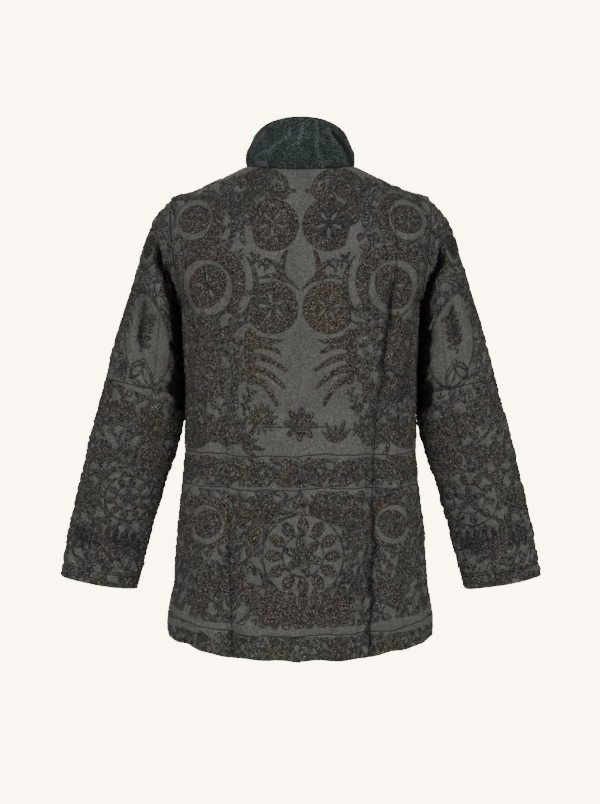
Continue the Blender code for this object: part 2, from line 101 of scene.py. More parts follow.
Station = namedtuple("Station", "outer_x outer_z inner_x inner_z depth y_mid square")
SLEEVE = [
    Station(0.2120, -0.0544, 0.1945, -0.2180, 0.0710, 0.000, 2.0),
    Station(0.2187, -0.0615, 0.1980, -0.2205, 0.0712, -0.003, 2.0),
    Station(0.2345, -0.0800, 0.2008, -0.2265, 0.0705, -0.007, 2.0),
    Station(0.2481, -0.1060, 0.2022, -0.2360, 0.0695, -0.012, 2.0),
    Station(0.2596, -0.1360, 0.2005, -0.2500, 0.0675, -0.017, 2.0),
    Station(0.2714, -0.1710, 0.1975, -0.2700, 0.0650, -0.022, 2.0),
    Station(0.2842, -0.2095, 0.1952, -0.2960, 0.0620, -0.032, 2.05),
    Station(0.2970, -0.2495, 0.1935, -0.3260, 0.0590, -0.040, 2.1),
    Station(0.3102, -0.2880, 0.1925, -0.3560, 0.0560, -0.045, 2.1),
    Station(0.3221, -0.3280, 0.1925, -0.3860, 0.0535, -0.047, 2.1),
    Station(0.3335, -0.3710, 0.1955, -0.4190, 0.0515, -0.048, 2.1),
    Station(0.3450, -0.4130, 0.2050, -0.4560, 0.0495, -0.049, 2.1),
    Station(0.3561, -0.4520, 0.2156, -0.4900, 0.0475, -0.050, 2.1),
    Station(0.3654, -0.4900, 0.2276, -0.5240, 0.0455, -0.051, 2.1),
    Station(0.3756, -0.5300, 0.2379, -0.5600, 0.0435, -0.052, 2.1),
    Station(0.3849, -0.5700, 0.2496, -0.5960, 0.0415, -0.053, 2.1),
    Station(0.3946, -0.6100, 0.2604, -0.6360, 0.0400, -0.054, 2.15),
    Station(0.4021, -0.6480, 0.2691, -0.6730, 0.0385, -0.055, 2.2),
    Station(0.4085, -0.6850, 0.2790, -0.7080, 0.0370, -0.057, 2.2),
]
HOLE_FADE = 3.0
CUFF = len(SLEEVE) - 1
HIND_SEAM, FORE_SEAM = math.radians(78), math.radians(282)

Ring = namedtuple("Ring", "z_side z_back z_front half_width y_back y_front back_fall front_fall")
COLLAR = [
    Ring(0.0000, -0.0080, -0.0800, 0.0870, 0.0680, -0.0760, 2.00, 1.75),
    Ring(0.0110, 0.0135, -0.0650, 0.0868, 0.0690, -0.0790, 1.50, 1.55),
    Ring(0.0225, 0.0360, -0.0500, 0.0850, 0.0685, -0.0815, 1.30, 1.35),
    Ring(0.0325, 0.0575, -0.0370, 0.0800, 0.0660, -0.0835, 1.20, 1.20),
    Ring(0.0405, 0.0750, -0.0270, 0.0760, 0.0630, -0.0850, 1.25, 1.10),
]
COLLAR_SQUARE = 2.15
print("coat length", BODY[NECK].z_side - BODY[HEM].z_back, "m, sleeve rings", len(SLEEVE))

# %% [markdown]
# ## Folds
# Two kinds of fold. The broad ones are in the solids too. The small creases are only here: they
# bunch on the inner side of each sleeve, run into the armholes and hang from the waist. Every
# crease is a trough with a low roll on both sides, as real cloth does when it is pushed together.
# They are placed one by one, unevenly, with similar ones on the front, which the photo doesn't show.

# %% Broad folds and small creases
Fold = namedtuple("Fold", "side from_angle from_row to_angle to_row width depth")
SEAM = None
BODY_FOLDS = [
    Fold(+1, SEAM, -2.0, SEAM, 5.6, 0.016, 0.0085),
    Fold(-1, SEAM, -2.0, SEAM, 6.4, 0.014, 0.0110),
    Fold(-1, SEAM, 6.4, SEAM, 9.6, 0.013, 0.0045),
    Fold(+1, SEAM, 5.6, SEAM, 8.2, 0.015, 0.0035),
    Fold(+1, 30, 4.4, 20, 7.8, 0.014, 0.0035),
    Fold(-1, 34, 5.0, 24, 8.2, 0.013, 0.0040),
    Fold(+1, -40, -2.0, -34, 4.6, 0.022, 0.0080),
    Fold(-1, -44, -2.0, -36, 5.2, 0.020, 0.0070),
    Fold(+1, -30, 4.8, -18, 8.2, 0.014, 0.0035),
    Fold(-1, -26, 5.2, -20, 8.0, 0.014, 0.0035),
]
BODY_STEPS = (0.0030, 0.070)
SLEEVE_FOLDS = [
    Fold(+1, 130, 3.6, 10, 0.8, 0.018, 0.022),
    Fold(-1, 126, 3.4, 10, 0.8, 0.018, 0.022),
    Fold(+1, -126, 3.4, -14, 1.0, 0.018, 0.017),
    Fold(-1, -130, 3.6, -14, 1.0, 0.018, 0.017),
    Fold(+1, 118, 4.6, 108, 8.1, 0.013, 0.0085),
    Fold(-1, 96, 4.8, 104, 7.6, 0.013, 0.0075),
    Fold(+1, 10, 5.6, 76, 4.6, 0.014, 0.006),
    Fold(-1, 8, 5.2, 70, 6.4, 0.014, 0.006),
    Fold(+1, 8, 8.6, 90, 8.9, 0.014, 0.005),
    Fold(-1, 6, 9.2, 86, 8.5, 0.014, 0.005),
    Fold(+1, -12, 8.2, -100, 9.2, 0.014, 0.006),
    Fold(-1, -10, 8.8, -96, 8.2, 0.014, 0.006),
]
SLEEVE_STEPS = (0.0011, 0.040)
FOLD_END = 0.35

BODY_CREASES = [
    Fold(-1, SEAM, -1.0, SEAM, 5.2, 0.0055, 0.0040),
    Fold(+1, SEAM, -1.0, SEAM, 4.6, 0.0055, 0.0012),
    Fold(-1, SEAM, 6.0, SEAM, 8.8, 0.0060, 0.0024),
    Fold(+1, 44, 8.9, 66, 7.3, 0.007, 0.0022),
    Fold(-1, 40, 8.6, 60, 7.0, 0.007, 0.0024),
    Fold(+1, 30, 7.7, 54, 6.6, 0.006, 0.0018),
    Fold(-1, 28, 7.4, 50, 6.3, 0.007, 0.0020),
    Fold(+1, 16, 6.3, 46, 5.9, 0.007, 0.0016),
    Fold(-1, 12, 6.0, 44, 5.5, 0.006, 0.0018),
    Fold(+1, 72, 3.6, 76, 0.6, 0.012, 0.0024),
    Fold(-1, 66, 3.9, 70, 0.4, 0.013, 0.0022),
    Fold(+1, 24, 3.4, 20, 0.5, 0.013, 0.0030),
    Fold(-1, 20, 3.2, 24, 0.3, 0.012, 0.0028),
    Fold(+1, -46, 8.8, -64, 7.2, 0.007, 0.0022),
    Fold(-1, -42, 8.7, -60, 7.4, 0.007, 0.0020),
    Fold(+1, -16, 6.2, -44, 5.8, 0.007, 0.0018),
    Fold(-1, -20, 6.0, -48, 5.6, 0.006, 0.0016),
    Fold(+1, -70, 3.6, -72, 0.6, 0.012, 0.0022),
    Fold(-1, -66, 3.4, -70, 0.8, 0.012, 0.0024),
]
SLEEVE_CREASES = [
    Fold(+1, 0, -1.5, 0, 9.4, 0.0220, -0.0048),
    Fold(-1, 0, -1.5, 0, 9.4, 0.0220, -0.0048),
    Fold(+1, 126, 2.3, 30, 3.0, 0.0100, 0.0075),
    Fold(-1, 120, 2.0, 30, 2.7, 0.0090, 0.0065),
    Fold(+1, -118, 2.2, -30, 2.9, 0.0100, 0.0060),
    Fold(-1, -122, 2.4, -30, 2.8, 0.0090, 0.0060),
    Fold(+1, 148, 4.6, 98, 8.2, 0.0070, 0.0030),
    Fold(+1, 8, 4.2, 62, 3.4, 0.0065, 0.0030),
    Fold(+1, 4, 5.3, 54, 4.9, 0.0060, 0.0034),
    Fold(+1, 2, 6.5, 60, 6.3, 0.0065, 0.0030),
    Fold(+1, 4, 7.5, 50, 7.1, 0.0060, 0.0034),
    Fold(+1, 0, 8.3, 64, 7.9, 0.0055, 0.0028),
    Fold(+1, 0, 9.5, 70, 9.3, 0.0070, 0.0020),
    Fold(+1, 20, 11.6, 96, 10.6, 0.0080, 0.0016),
    Fold(-1, 6, 3.9, 58, 3.3, 0.0065, 0.0032),
    Fold(-1, 2, 4.9, 56, 4.6, 0.0060, 0.0030),
    Fold(-1, 4, 6.1, 62, 5.6, 0.0065, 0.0034),
    Fold(-1, 0, 7.2, 52, 7.1, 0.0060, 0.0030),
    Fold(-1, 2, 8.1, 66, 7.7, 0.0060, 0.0030),
    Fold(-1, 0, 9.7, 80, 9.1, 0.0070, 0.0020),
    Fold(-1, 16, 11.9, 90, 11.2, 0.0080, 0.0016),
    Fold(+1, -6, 4.6, -58, 4.0, 0.0065, 0.0030),
    Fold(-1, -4, 5.0, -60, 4.4, 0.0065, 0.0030),
    Fold(+1, -2, 6.2, -56, 6.0, 0.0065, 0.0032),
    Fold(-1, -4, 6.8, -54, 6.4, 0.0060, 0.0030),
    Fold(+1, 0, 7.9, -62, 7.5, 0.0060, 0.0028),
    Fold(-1, 0, 8.4, -66, 8.2, 0.0065, 0.0026),
    Fold(+1, 140, 5.4, 128, 8.4, 0.0070, 0.0028),
    Fold(-1, 128, 5.2, 136, 7.8, 0.0070, 0.0026),
    Fold(+1, -140, 5.2, -126, 8.0, 0.0080, 0.0026),
    Fold(-1, -134, 5.6, -122, 8.4, 0.0080, 0.0026),
]
# Valleys change no shape: they only set how much painted shade goes into the colour along the back seams and in the
# deep folds beside the arms.
BODY_VALLEY_SHADE = [
    Fold(-1, SEAM, 4.7, SEAM, 9.6, 0.0080, 0.0085),
    Fold(-1, SEAM, -1.4, SEAM, 5.2, 0.0040, 0.0050),
    Fold(+1, SEAM, -1.4, SEAM, 4.4, 0.0030, 0.0035),
]
SLEEVE_VALLEY_SHADE = [
    Fold(+1, 128, 2.3, 34, 3.3, 0.0080, 0.030),
    Fold(+1, 92, 2.6, 6, 4.6, 0.0110, 0.030),
    Fold(-1, 122, 2.0, 30, 3.0, 0.0070, 0.028),
    Fold(-1, 84, 2.3, 6, 4.2, 0.0110, 0.028),
    Fold(+1, -118, 2.2, -30, 3.0, 0.0080, 0.026),
    Fold(-1, -122, 2.4, -30, 2.9, 0.0080, 0.026),
]
print(len(BODY_FOLDS) + len(SLEEVE_FOLDS), "broad folds,", len(BODY_CREASES) + len(SLEEVE_CREASES), "creases")

# %% [markdown]
# ## Curves and sections as functions
# `through` reads one column of a table between its rows along a smooth curve. `at_value` finds
# where a falling function reaches a wanted value. `round_off` gives a circle that is squared off
# a little, which is what a coat over shoulders looks like from above.

# %% Curve helpers
def through(table, column, at):
    """The smooth curve through one named column of a table, read at row positions."""
    values = np.array([getattr(row, column) for row in table], float)
    at = np.clip(np.asarray(at, float), 0, len(values) - 1)
    first = np.minimum(at.astype(int), len(values) - 2)
    share = at - first
    slopes = np.gradient(values)
    rise = values[first + 1] - values[first]
    start, end = slopes[first], slopes[first + 1]
    bend = share * (1 - share)
    return values[first] + share * rise + bend * ((1 - share) * (start - rise) - share * (end - rise))


def at_value(function, target, low, high):
    """Where a falling function reaches the target between low and high."""
    low = np.zeros_like(target) + low
    high = np.zeros_like(target) + high
    for _ in range(40):
        middle = (low + high) / 2
        above = function(middle) > target
        low = np.where(above, middle, low)
        high = np.where(above, high, middle)
    return (low + high) / 2


def round_off(angle, square):
    """Cosine and sine shares of a rounded-off box section."""
    cosine, sine = np.cos(angle), np.sin(angle)
    size = (np.abs(cosine) ** square + np.abs(sine) ** square) ** (-1 / square)
    return cosine * size, sine * size


def unit(vectors):
    return vectors / np.maximum(np.linalg.norm(vectors, axis=-1, keepdims=True), 1e-12)


def smooth(value):
    """0 below 0, 1 above 1, and an even curve between."""
    value = np.clip(value, 0, 1)
    return value * value * (3 - 2 * value)


def pressed_in(folds, side, angle, row, steps, seam=0, rolls=0):
    """How deep the folds of one side press at an angle in degrees and a row."""
    total = 0 * (row + angle)
    for fold in folds:
        if fold.side != side:
            continue
        on_seam = fold.from_angle is SEAM
        start = np.array([0 if on_seam else fold.from_angle * steps[0], fold.from_row * steps[1]])
        end = np.array([0 if on_seam else fold.to_angle * steps[0], fold.to_row * steps[1]])
        across = (angle - seam if on_seam else angle) * steps[0] - start[0]
        along = row * steps[1] - start[1]
        line = end - start
        length = np.hypot(*line)
        share = (across * line[0] + along * line[1]) / length**2
        apart = np.abs(across * line[1] - along * line[0]) / length / fold.width
        trough = np.exp(-(apart**2)) - rolls * np.exp(-((apart - 1.9) ** 2))
        total = total + fold.depth * trough * smooth(np.minimum(share, 1 - share) / FOLD_END)
    return total


# %% The body's form
def ring_point(level, angle):
    """A point on the body's plain form. Angle 0 is the left side and a quarter turn the back."""
    across, along = round_off(angle, through(BODY, "square", level))
    x = through(BODY, "half_width", level) * across
    back = along > 0
    y = np.where(back, through(BODY, "y_back", level) * along, -through(BODY, "y_front", level) * along)
    side = through(BODY, "z_side", level)
    falls = np.where(
        back,
        (through(BODY, "z_back", level) - side) * np.abs(along) ** BACK_FALL,
        (through(BODY, "z_front", level) - side) * np.abs(along) ** FRONT_FALL,
    )
    return np.stack([x, y, side + falls], axis=-1)


def hole_turn(level):
    """The armhole's own angle, 0 under the arm and a half turn at the shoulder, at a level."""
    low, high = BODY[ARMPIT].z_side, BODY[SHOULDER].z_side
    share = (through(BODY, "z_side", np.clip(level, ARMPIT, SHOULDER)) - low) / (high - low)
    return np.arccos(np.clip(1 - 2 * share, -1, 1))


def hole_level(turn):
    """The body level of an armhole angle."""
    low, high = BODY[ARMPIT].z_side, BODY[SHOULDER].z_side
    height = low + (high - low) * (1 - np.cos(turn)) / 2
    return at_value(lambda level: -through(BODY, "z_side", level), -height, ARMPIT, SHOULDER)


def hole_point(turn):
    """The left armhole seam. Positive angles run up its back and negative ones up its front."""
    start = np.array([BODY[ARMPIT].half_width, 0, BODY[ARMPIT].z_side])
    end = np.array([BODY[SHOULDER].half_width, 0, BODY[SHOULDER].z_side])
    share = (1 - np.cos(turn)) / 2
    point = start + (end - start) * share[..., None]
    point[..., 0] += HOLE_BOW * np.sin(turn) ** 2
    point[..., 1] += HOLE_DEPTH * np.sin(turn) * (1 + HOLE_EGG * np.cos(turn))
    return point


def hole_angle(level, front):
    """The body angle where the armhole seam crosses a level, and 0 away from the armhole."""
    turn = hole_turn(level) * (-1 if front else 1)
    reach = through(BODY, "y_front" if front else "y_back", level)
    share = np.clip(hole_point(turn)[..., 1] / reach, 0, 1)
    square = through(BODY, "square", level)
    found = at_value(lambda a: -round_off(a, square)[1], -share, 0, QUARTER_TURN)
    open_here = (level > ARMPIT) & (level < SHOULDER)
    return np.where(open_here, found * (-1 if front else 1), 0.0)


def seam_angle(level):
    """The body angle of the back seam, 0 where it has reached the shoulder seam."""
    square = through(BODY, "square", level)
    share = np.clip(through(BODY, "seam_x", level) / through(BODY, "half_width", level), 0, 1)
    return at_value(lambda a: round_off(a, square)[0], share, 0, QUARTER_TURN)


def seam_end():
    """The level where the back seam meets the shoulder seam."""
    wanted = np.array(BODY[SHOULDER].seam_x)
    return float(at_value(lambda level: through(BODY, "half_width", level), wanted, SHOULDER, NECK))


def plain_point(level, angle):
    """The body's form with the armhole pulled out to its seam, on the left half."""
    point = ring_point(level, angle)
    for front in (False, True):
        edge = hole_angle(level, front)
        pull = hole_point(hole_turn(level) * (-1 if front else 1)) - ring_point(level, edge)
        share = np.clip(np.abs(angle - edge) / HOLE_BLEND, 0, 1)
        inside = np.abs(angle) < np.abs(edge)
        weight = np.where(inside, 1, (1 - share) ** 2 * (1 + 2 * share))
        here = (angle < 0) == front
        open_here = (level > ARMPIT) & (level < SHOULDER)
        point = point + pull * (weight * here * open_here)[..., None]
    return point


def normals_of(surface, first, second):
    """Outward normals of a surface function of two numbers."""
    along_second = surface(first, second + STEP) - surface(first, second - STEP)
    along_first = surface(first + STEP, second) - surface(first - STEP, second)
    return unit(np.cross(along_second, along_first))


def body_half(level, angle, side):
    """A point on the left half's cloth with its broad folds. Side says whose folds it has."""
    level, angle = np.asarray(level, float), np.asarray(angle, float)
    point = plain_point(level, angle)
    seam = np.degrees(seam_angle(level))
    pressed = pressed_in(BODY_FOLDS, side, np.degrees(angle), level, BODY_STEPS, seam)
    outward = normals_of(plain_point, np.clip(level, STEP, NECK - STEP), angle)
    return point - outward * pressed[..., None]


def body_point(level, angle):
    """A point on the whole body. Angles past a quarter turn are the right half."""
    right = np.abs(angle) > QUARTER_TURN
    own = np.where(right, np.sign(angle) * HALF_TURN - angle, angle)
    left_half = body_half(level, own, +1)
    right_half = body_half(level, own, -1) * np.array([-1, 1, 1])
    return np.where(right[..., None], right_half, left_half)


# %% The sleeve's and collar's form
def sleeve_point(station, turn, side):
    """A point on the left sleeve's cloth. Side says whose folds it has."""
    station, turn = np.broadcast_arrays(np.asarray(station, float), np.asarray(turn, float))
    across, along = round_off(turn, through(SLEEVE, "square", station))
    outer = np.stack([through(SLEEVE, "outer_x", station), through(SLEEVE, "outer_z", station)], -1)
    inner = np.stack([through(SLEEVE, "inner_x", station), through(SLEEVE, "inner_z", station)], -1)
    middle, half = (outer + inner) / 2, (outer - inner) / 2
    fade = np.clip(1 - station / HOLE_FADE, 0, 1)
    depth = through(SLEEVE, "depth", station)
    apart = (np.degrees(turn) + 180) % 360 - 180
    shrink = 1 - pressed_in(SLEEVE_FOLDS, side, apart, station, SLEEVE_STEPS) / depth
    flat = middle - half * (across * shrink)[..., None]
    x = flat[..., 0] + HOLE_BOW * np.sin(turn) ** 2 * fade
    y = through(SLEEVE, "y_mid", station) + depth * along * shrink * (1 + HOLE_EGG * np.cos(turn) * fade)
    return np.stack([x, y, flat[..., 1]], axis=-1)


def collar_point(height, angle):
    """A point on the collar. Height runs over the rows of its table."""
    across, along = round_off(angle, COLLAR_SQUARE)
    back = along > 0
    side = through(COLLAR, "z_side", height)
    reach = np.where(back, through(COLLAR, "y_back", height), -through(COLLAR, "y_front", height))
    rise = np.where(back, through(COLLAR, "z_back", height), through(COLLAR, "z_front", height)) - side
    power = np.where(back, through(COLLAR, "back_fall", height), through(COLLAR, "front_fall", height))
    z = side + rise * np.abs(along) ** power
    return np.stack([through(COLLAR, "half_width", height) * across, reach * along, z], axis=-1)


def hole_normals(turns, side):
    """Normals on the armhole seam, halfway between the body's and the sleeve's."""
    levels = hole_level(np.abs(turns))
    angles = np.where(turns < 0, hole_angle(levels, True), hole_angle(levels, False))
    on_body = normals_of(lambda a, b: body_half(a, b, side), levels, angles)
    start = np.zeros_like(turns) + STEP
    on_sleeve = normals_of(lambda a, b: sleeve_point(a, b, side), start, turns)
    return unit(on_body + on_sleeve)


def neck_normals(angles):
    """Normals on the neck seam, halfway between the body's and the collar's."""
    top = np.zeros_like(angles) + NECK - STEP
    foot = np.zeros_like(angles) + STEP
    return unit(normals_of(body_point, top, angles) + normals_of(collar_point, foot, angles))


print("back seam meets the shoulder seam at level", round(seam_end(), 2))

# %% [markdown]
# ## An even net of points
# The motifs should not stretch where a section turns quickly, so each row is cut into equal
# lengths of cloth. The same measuring gives the flat pattern: how far across and how far up each
# point lies when the piece is laid out flat.

# %% Even rows and columns
def even_rows(surface, start, end, angles):
    """Row positions no further apart than FINE anywhere along the given angles."""
    rows = np.linspace(start, end, 700)
    lines = surface(rows[:, None], np.array(angles, float)[None, :])
    steps = np.linalg.norm(np.diff(lines, axis=0), axis=-1).max(axis=1)
    run = np.concatenate([[0], np.cumsum(steps)])
    return np.interp(np.linspace(0, run[-1], int(run[-1] / FINE) + 2), run, rows)


def running_length(surface, rows, angles):
    """How far along each row of cloth every angle lies, from the first one."""
    line = surface(rows[:, None], angles)
    steps = np.linalg.norm(np.diff(line, axis=1), axis=-1)
    return np.concatenate([np.zeros((len(rows), 1)), np.cumsum(steps, axis=1)], axis=1)


def even_columns(surface, rows, left, right):
    """Angles that cut each row between its two edges into even lengths."""
    share = np.linspace(0, 1, 241)
    angles = left[:, None] * (1 - share) + right[:, None] * share
    run = running_length(surface, rows, angles)
    count = int(run[:, -1].max() / FINE) + 2
    return np.stack(
        [np.interp(np.linspace(0, run[i, -1], count), run[i], angles[i]) for i in range(len(rows))]
    )


def laid_flat(surface, rows, angles, middle):
    """How far each point lies from the line at the middle angle, along its row."""
    whole = np.linspace(min(angles.min(), middle), max(angles.max(), middle), 361)
    run = running_length(surface, rows, np.repeat(whole[None, :], len(rows), axis=0))
    start = np.stack([np.interp(middle, whole, run[i]) for i in range(len(rows))])
    placed = np.stack([np.interp(angles[i], whole, run[i]) for i in range(len(rows))])
    return placed - start[:, None]


# %% [markdown]
# ## Drawing with stitches
# A motif is a function that says how deep inside its outline a point lies, in metres. Positive is
# sewn, negative is bare cloth. Joining two motifs takes the larger depth, cutting one out takes
# the smaller. These are ordinary shapes of the craft: disc, ring, crescent, leaf, curl and star.

# %% Motif shapes
def disc(x, y, radius):
    return radius - np.hypot(x, y)


def ring(x, y, radius, half):
    return half - np.abs(np.hypot(x, y) - radius)


def crescent(x, y, radius, bite, shift):
    """A disc with a bite taken out of it, the bite's middle shifted upward."""
    return np.minimum(disc(x, y, radius), -disc(x, y - shift, bite))


def leaf(x, y, length, width):
    """A leaf pointed at both ends, growing up from the origin."""
    half, bulge = length / 2, width / 2
    radius = (half * half + bulge * bulge) / (2 * bulge)
    return np.minimum(disc(x + radius - bulge, y - half, radius), disc(x - radius + bulge, y - half, radius))


def spoked(x, y, count, start=0.0):
    """Fold the plane so that one spoke drawn upward is repeated all round."""
    size, sector = np.hypot(x, y), 2 * math.pi / count
    angle = (np.arctan2(x, y) - start + sector / 2) % sector - sector / 2
    return size * np.sin(angle), size * np.cos(angle)


def stroke(x, y, path, thick, thin):
    """A stem along a path of points, from thick to thin."""
    best = np.full_like(x, -1.0)
    parts = len(path) - 1
    for number in range(parts):
        (x0, y0), (x1, y1) = path[number], path[number + 1]
        dx, dy = x1 - x0, y1 - y0
        share = np.clip(((x - x0) * dx + (y - y0) * dy) / (dx * dx + dy * dy), 0, 1)
        half = thick + (thin - thick) * (number + share) / parts
        best = np.maximum(best, half - np.hypot(x - x0 - share * dx, y - y0 - share * dy))
    return best


def bow(start, pull, end, parts=7):
    """Points along a curve from start to end, drawn towards the pull point."""
    share = [number / parts for number in range(parts + 1)]
    return [
        tuple((1 - t) ** 2 * a + 2 * t * (1 - t) * b + t * t * c for a, b, c in zip(start, pull, end))
        for t in share
    ]


def spiral(radius, turns, parts=18):
    """Points that wind inward from the top of a curl."""
    path = []
    for number in range(parts + 1):
        share = number / parts
        size, angle = radius * (1 - 0.8 * share), 2 * math.pi * turns * share
        path.append((size * math.sin(angle), size * math.cos(angle)))
    return path


# %% [markdown]
# ## The flat pattern
# `Pattern` keeps, for each point of a flat piece, the depth inside the sewing and the thread's
# colour. A new motif first clears a narrow channel of bare cloth around itself, so each one is
# outlined by the ground, as on the real cloth. What lies between the motifs is filled with small
# scrolls.

# %% Pattern
THREADS = {
    "brown": (0.0690, 0.0640, 0.0560),
    "plum": (0.0750, 0.0630, 0.0580),
    "rust": (0.0790, 0.0650, 0.0530),
    "ochre": (0.0760, 0.0720, 0.0520),
    "olive": (0.0640, 0.0660, 0.0530),
    "slate": (0.0680, 0.0700, 0.0710),
    "dark": (0.0400, 0.0390, 0.0365),
    "grey": (0.0980, 0.0970, 0.0880),
}
CHANNEL = 0.0030
BARE = 0.02


class Pattern:
    """Embroidery on a flat piece: across and up in metres, for one half at a time."""

    def __init__(self, across, up):
        self.across, self.up, self.half = across, up, 1
        self.depth = np.full(across.shape, -BARE)
        self.thread = np.zeros(across.shape + (3,)) + THREADS["grey"]

    def near(self, centre, reach, turn):
        x, y = self.across * self.half - centre[0], self.up - centre[1]
        spot = (np.abs(x) < reach) & (np.abs(y) < reach)
        x, y = x[spot], y[spot]
        angle = math.radians(turn)
        return spot, x * math.cos(angle) + y * math.sin(angle), y * math.cos(angle) - x * math.sin(angle)

    def clear(self, centre, reach, shape, turn=0):
        """Leave bare cloth inside the shape."""
        spot, x, y = self.near(centre, reach, turn)
        self.depth[spot] = np.minimum(self.depth[spot], -shape(x, y))

    def sew(self, centre, reach, shape, thread, turn=0, channel=CHANNEL):
        """Fill the shape with stitches and keep a channel around it."""
        spot, x, y = self.near(centre, reach + channel, turn)
        if not spot.any():
            return
        inside = shape(x, y)
        self.depth[spot] = np.maximum(np.minimum(self.depth[spot], -(inside + channel)), inside)
        share = smooth(inside / 0.003 + 0.5)[..., None]
        self.thread[spot] = self.thread[spot] * (1 - share) + np.array(THREADS[thread]) * share

    def line(self, centre, reach, shape, turn=0, thread="dark"):
        """One row of stitches along the shape's outline."""
        self.sew(centre, reach, lambda x, y: 0.0006 - np.abs(shape(x, y)), thread, turn, 0.0015)

    def cover(self, box, period, share):
        """Fill part of a box with uneven patches of stitches, more of it for a larger share."""
        left, right, low, high = box
        x, y = self.across, self.up
        swell = np.sin(x / period + 1.8 * np.sin(y / period / 2.3)) * np.sin(y / period / 0.9 + 1.5 * np.sin(x / period / 1.9))
        within = np.minimum(np.minimum(x - left, right - x), np.minimum(y - low, high - y))
        self.depth = np.maximum(self.depth, np.minimum(within, 0.35 * period * (swell + share)))

    def tint(self, centre, reach, thread, amount=0.8):
        """Change the thread's colour in a soft round patch."""
        spot, x, y = self.near(centre, reach, 0)
        share = (amount * smooth(1.4 - 1.4 * np.hypot(x, y) / reach))[..., None]
        self.thread[spot] = self.thread[spot] * (1 - share) + np.array(THREADS[thread]) * share


# %% [markdown]
# ## Motifs of the craft
# Each function below sews one whole motif, growing up from its centre before it is turned. Their
# sizes come from the radius they are given. `scatter` fills the room between the large motifs
# with small commas, leaves and curls, as an embroiderer does when the large ones are done.

# %% Motifs
def seed_disc(cloth, centre, radius, thread, turn=0, slits=5):
    """A full disc with leaf-shaped slits, cut off on one side like a sliced fruit."""
    def shape(x, y):
        folded = spoked(x, y - 0.05 * radius, slits, 0.4)
        cuts = leaf(folded[0], folded[1] - radius * 0.08, radius * 0.52, radius * 0.17)
        whole = np.minimum(disc(x, y, radius), radius * 0.80 - x)
        return np.minimum(whole, -cuts)
    cloth.sew(centre, radius, shape, thread, turn)


def rosette(cloth, centre, radius, thread, heart, spokes=12, inner=0.50, turn=0):
    """A wheel inside a ring of petals, with one row of stitches around it all."""
    def wheel(x, y):
        a, b = spoked(x, y, spokes // 2, 0.2)
        petals = leaf(a, b - radius * 0.05, radius * inner * 0.94, radius * 0.22)
        return np.maximum(petals, disc(x, y, radius * 0.10))
    def rim(x, y):
        a, b = spoked(x, y, spokes)
        return leaf(a, b - radius * (inner + 0.03), radius * (0.94 - inner), radius * 0.27)
    cloth.clear(centre, radius * 1.15, lambda x, y: disc(x, y, radius * 1.06), turn)
    cloth.sew(centre, radius, rim, thread, turn, channel=0.001)
    cloth.sew(centre, radius * inner, wheel, heart, turn, channel=0.001)
    for size in (1.03, inner * 1.04):
        cloth.line(centre, radius * 1.1, lambda x, y: disc(x, y, radius * size), turn)


def star(cloth, centre, radius, thread, petals=8, turn=0, width=0.36):
    def shape(x, y):
        a, b = spoked(x, y, petals)
        petal = np.minimum(leaf(a, b - radius * 0.04, radius * 1.02, radius * width), radius * 0.97 - b)
        return np.maximum(petal, disc(x, y, radius * 0.2))
    cloth.sew(centre, radius * 1.1, shape, thread, turn)


def sunburst(cloth, centre, radius, thread, turn=0):
    def shape(x, y):
        a, b = spoked(x, y, 13)
        return np.maximum(leaf(a, b, radius, radius * 0.22), disc(x, y, radius * 0.42))
    cloth.sew(centre, radius, shape, thread, turn, channel=0.002)


def eye_oval(cloth, centre, radius, thread, heart, turn=90):
    """An oval seed between two crescents that open away from the turned side."""
    squash = 0.80
    def seed(x, y):
        x, y = x / squash, y + radius * 0.20
        folded = spoked(x, y, 5, 0.7)
        return np.minimum(disc(x, y, radius * 0.66), -leaf(folded[0], folded[1] - radius * 0.06, radius * 0.42, radius * 0.12))
    def moon(x, y):
        return crescent(x, y, radius, radius * 0.80, -radius * 0.24)
    cloth.clear(centre, radius, lambda x, y: disc(x, y, radius), turn)
    cloth.sew(centre, radius, moon, thread, turn)
    cloth.sew(centre, radius * 0.9, seed, heart, turn)


def horns(cloth, centre, size, thread, turn=0):
    """Two leafy horns that rise from one foot and turn outward."""
    def shape(x, y):
        outer = stroke(x, y, bow((0, -size * 0.5), (size * 0.2, size * 0.25), (size * 0.9, size * 0.45)), size * 0.17, size * 0.05)
        inner = stroke(x, y, bow((size * 0.1, 0), (size * 0.05, size * 0.6), (-size * 0.15, size * 0.85)), size * 0.14, size * 0.04)
        lobe = leaf(x - size * 0.25, y + size * 0.62, size * 0.66, size * 0.28)
        return np.maximum(np.maximum(outer, inner), lobe)
    cloth.sew(centre, size * 1.2, shape, thread, turn)


def finger_spray(cloth, centre, size, thread, turn=0):
    """A stalk with long finger leaves that droop to one side."""
    def shape(x, y):
        best = stroke(x, y, bow((0, size), (size * 0.12, size * 0.3), (0, -size * 0.45)), size * 0.17, size * 0.12)
        for number, reach in enumerate((0.95, 1.15, 1.10, 0.85)):
            drop = 0.60 - 0.38 * number
            end = (-size * reach, size * (drop - 0.20 - 0.20 * number))
            finger = bow((0, size * drop), (-size * 0.45, size * (drop + 0.14)), end)
            best = np.maximum(best, stroke(x, y, finger, size * 0.13, size * 0.045))
        for drop in (-0.15, 0.35):
            finger = bow((0, size * drop), (size * 0.3, size * drop), (size * 0.5, size * (drop - 0.5)))
            best = np.maximum(best, stroke(x, y, finger, size * 0.12, size * 0.03))
        return best
    cloth.sew(centre, size * 1.45, shape, thread, turn)


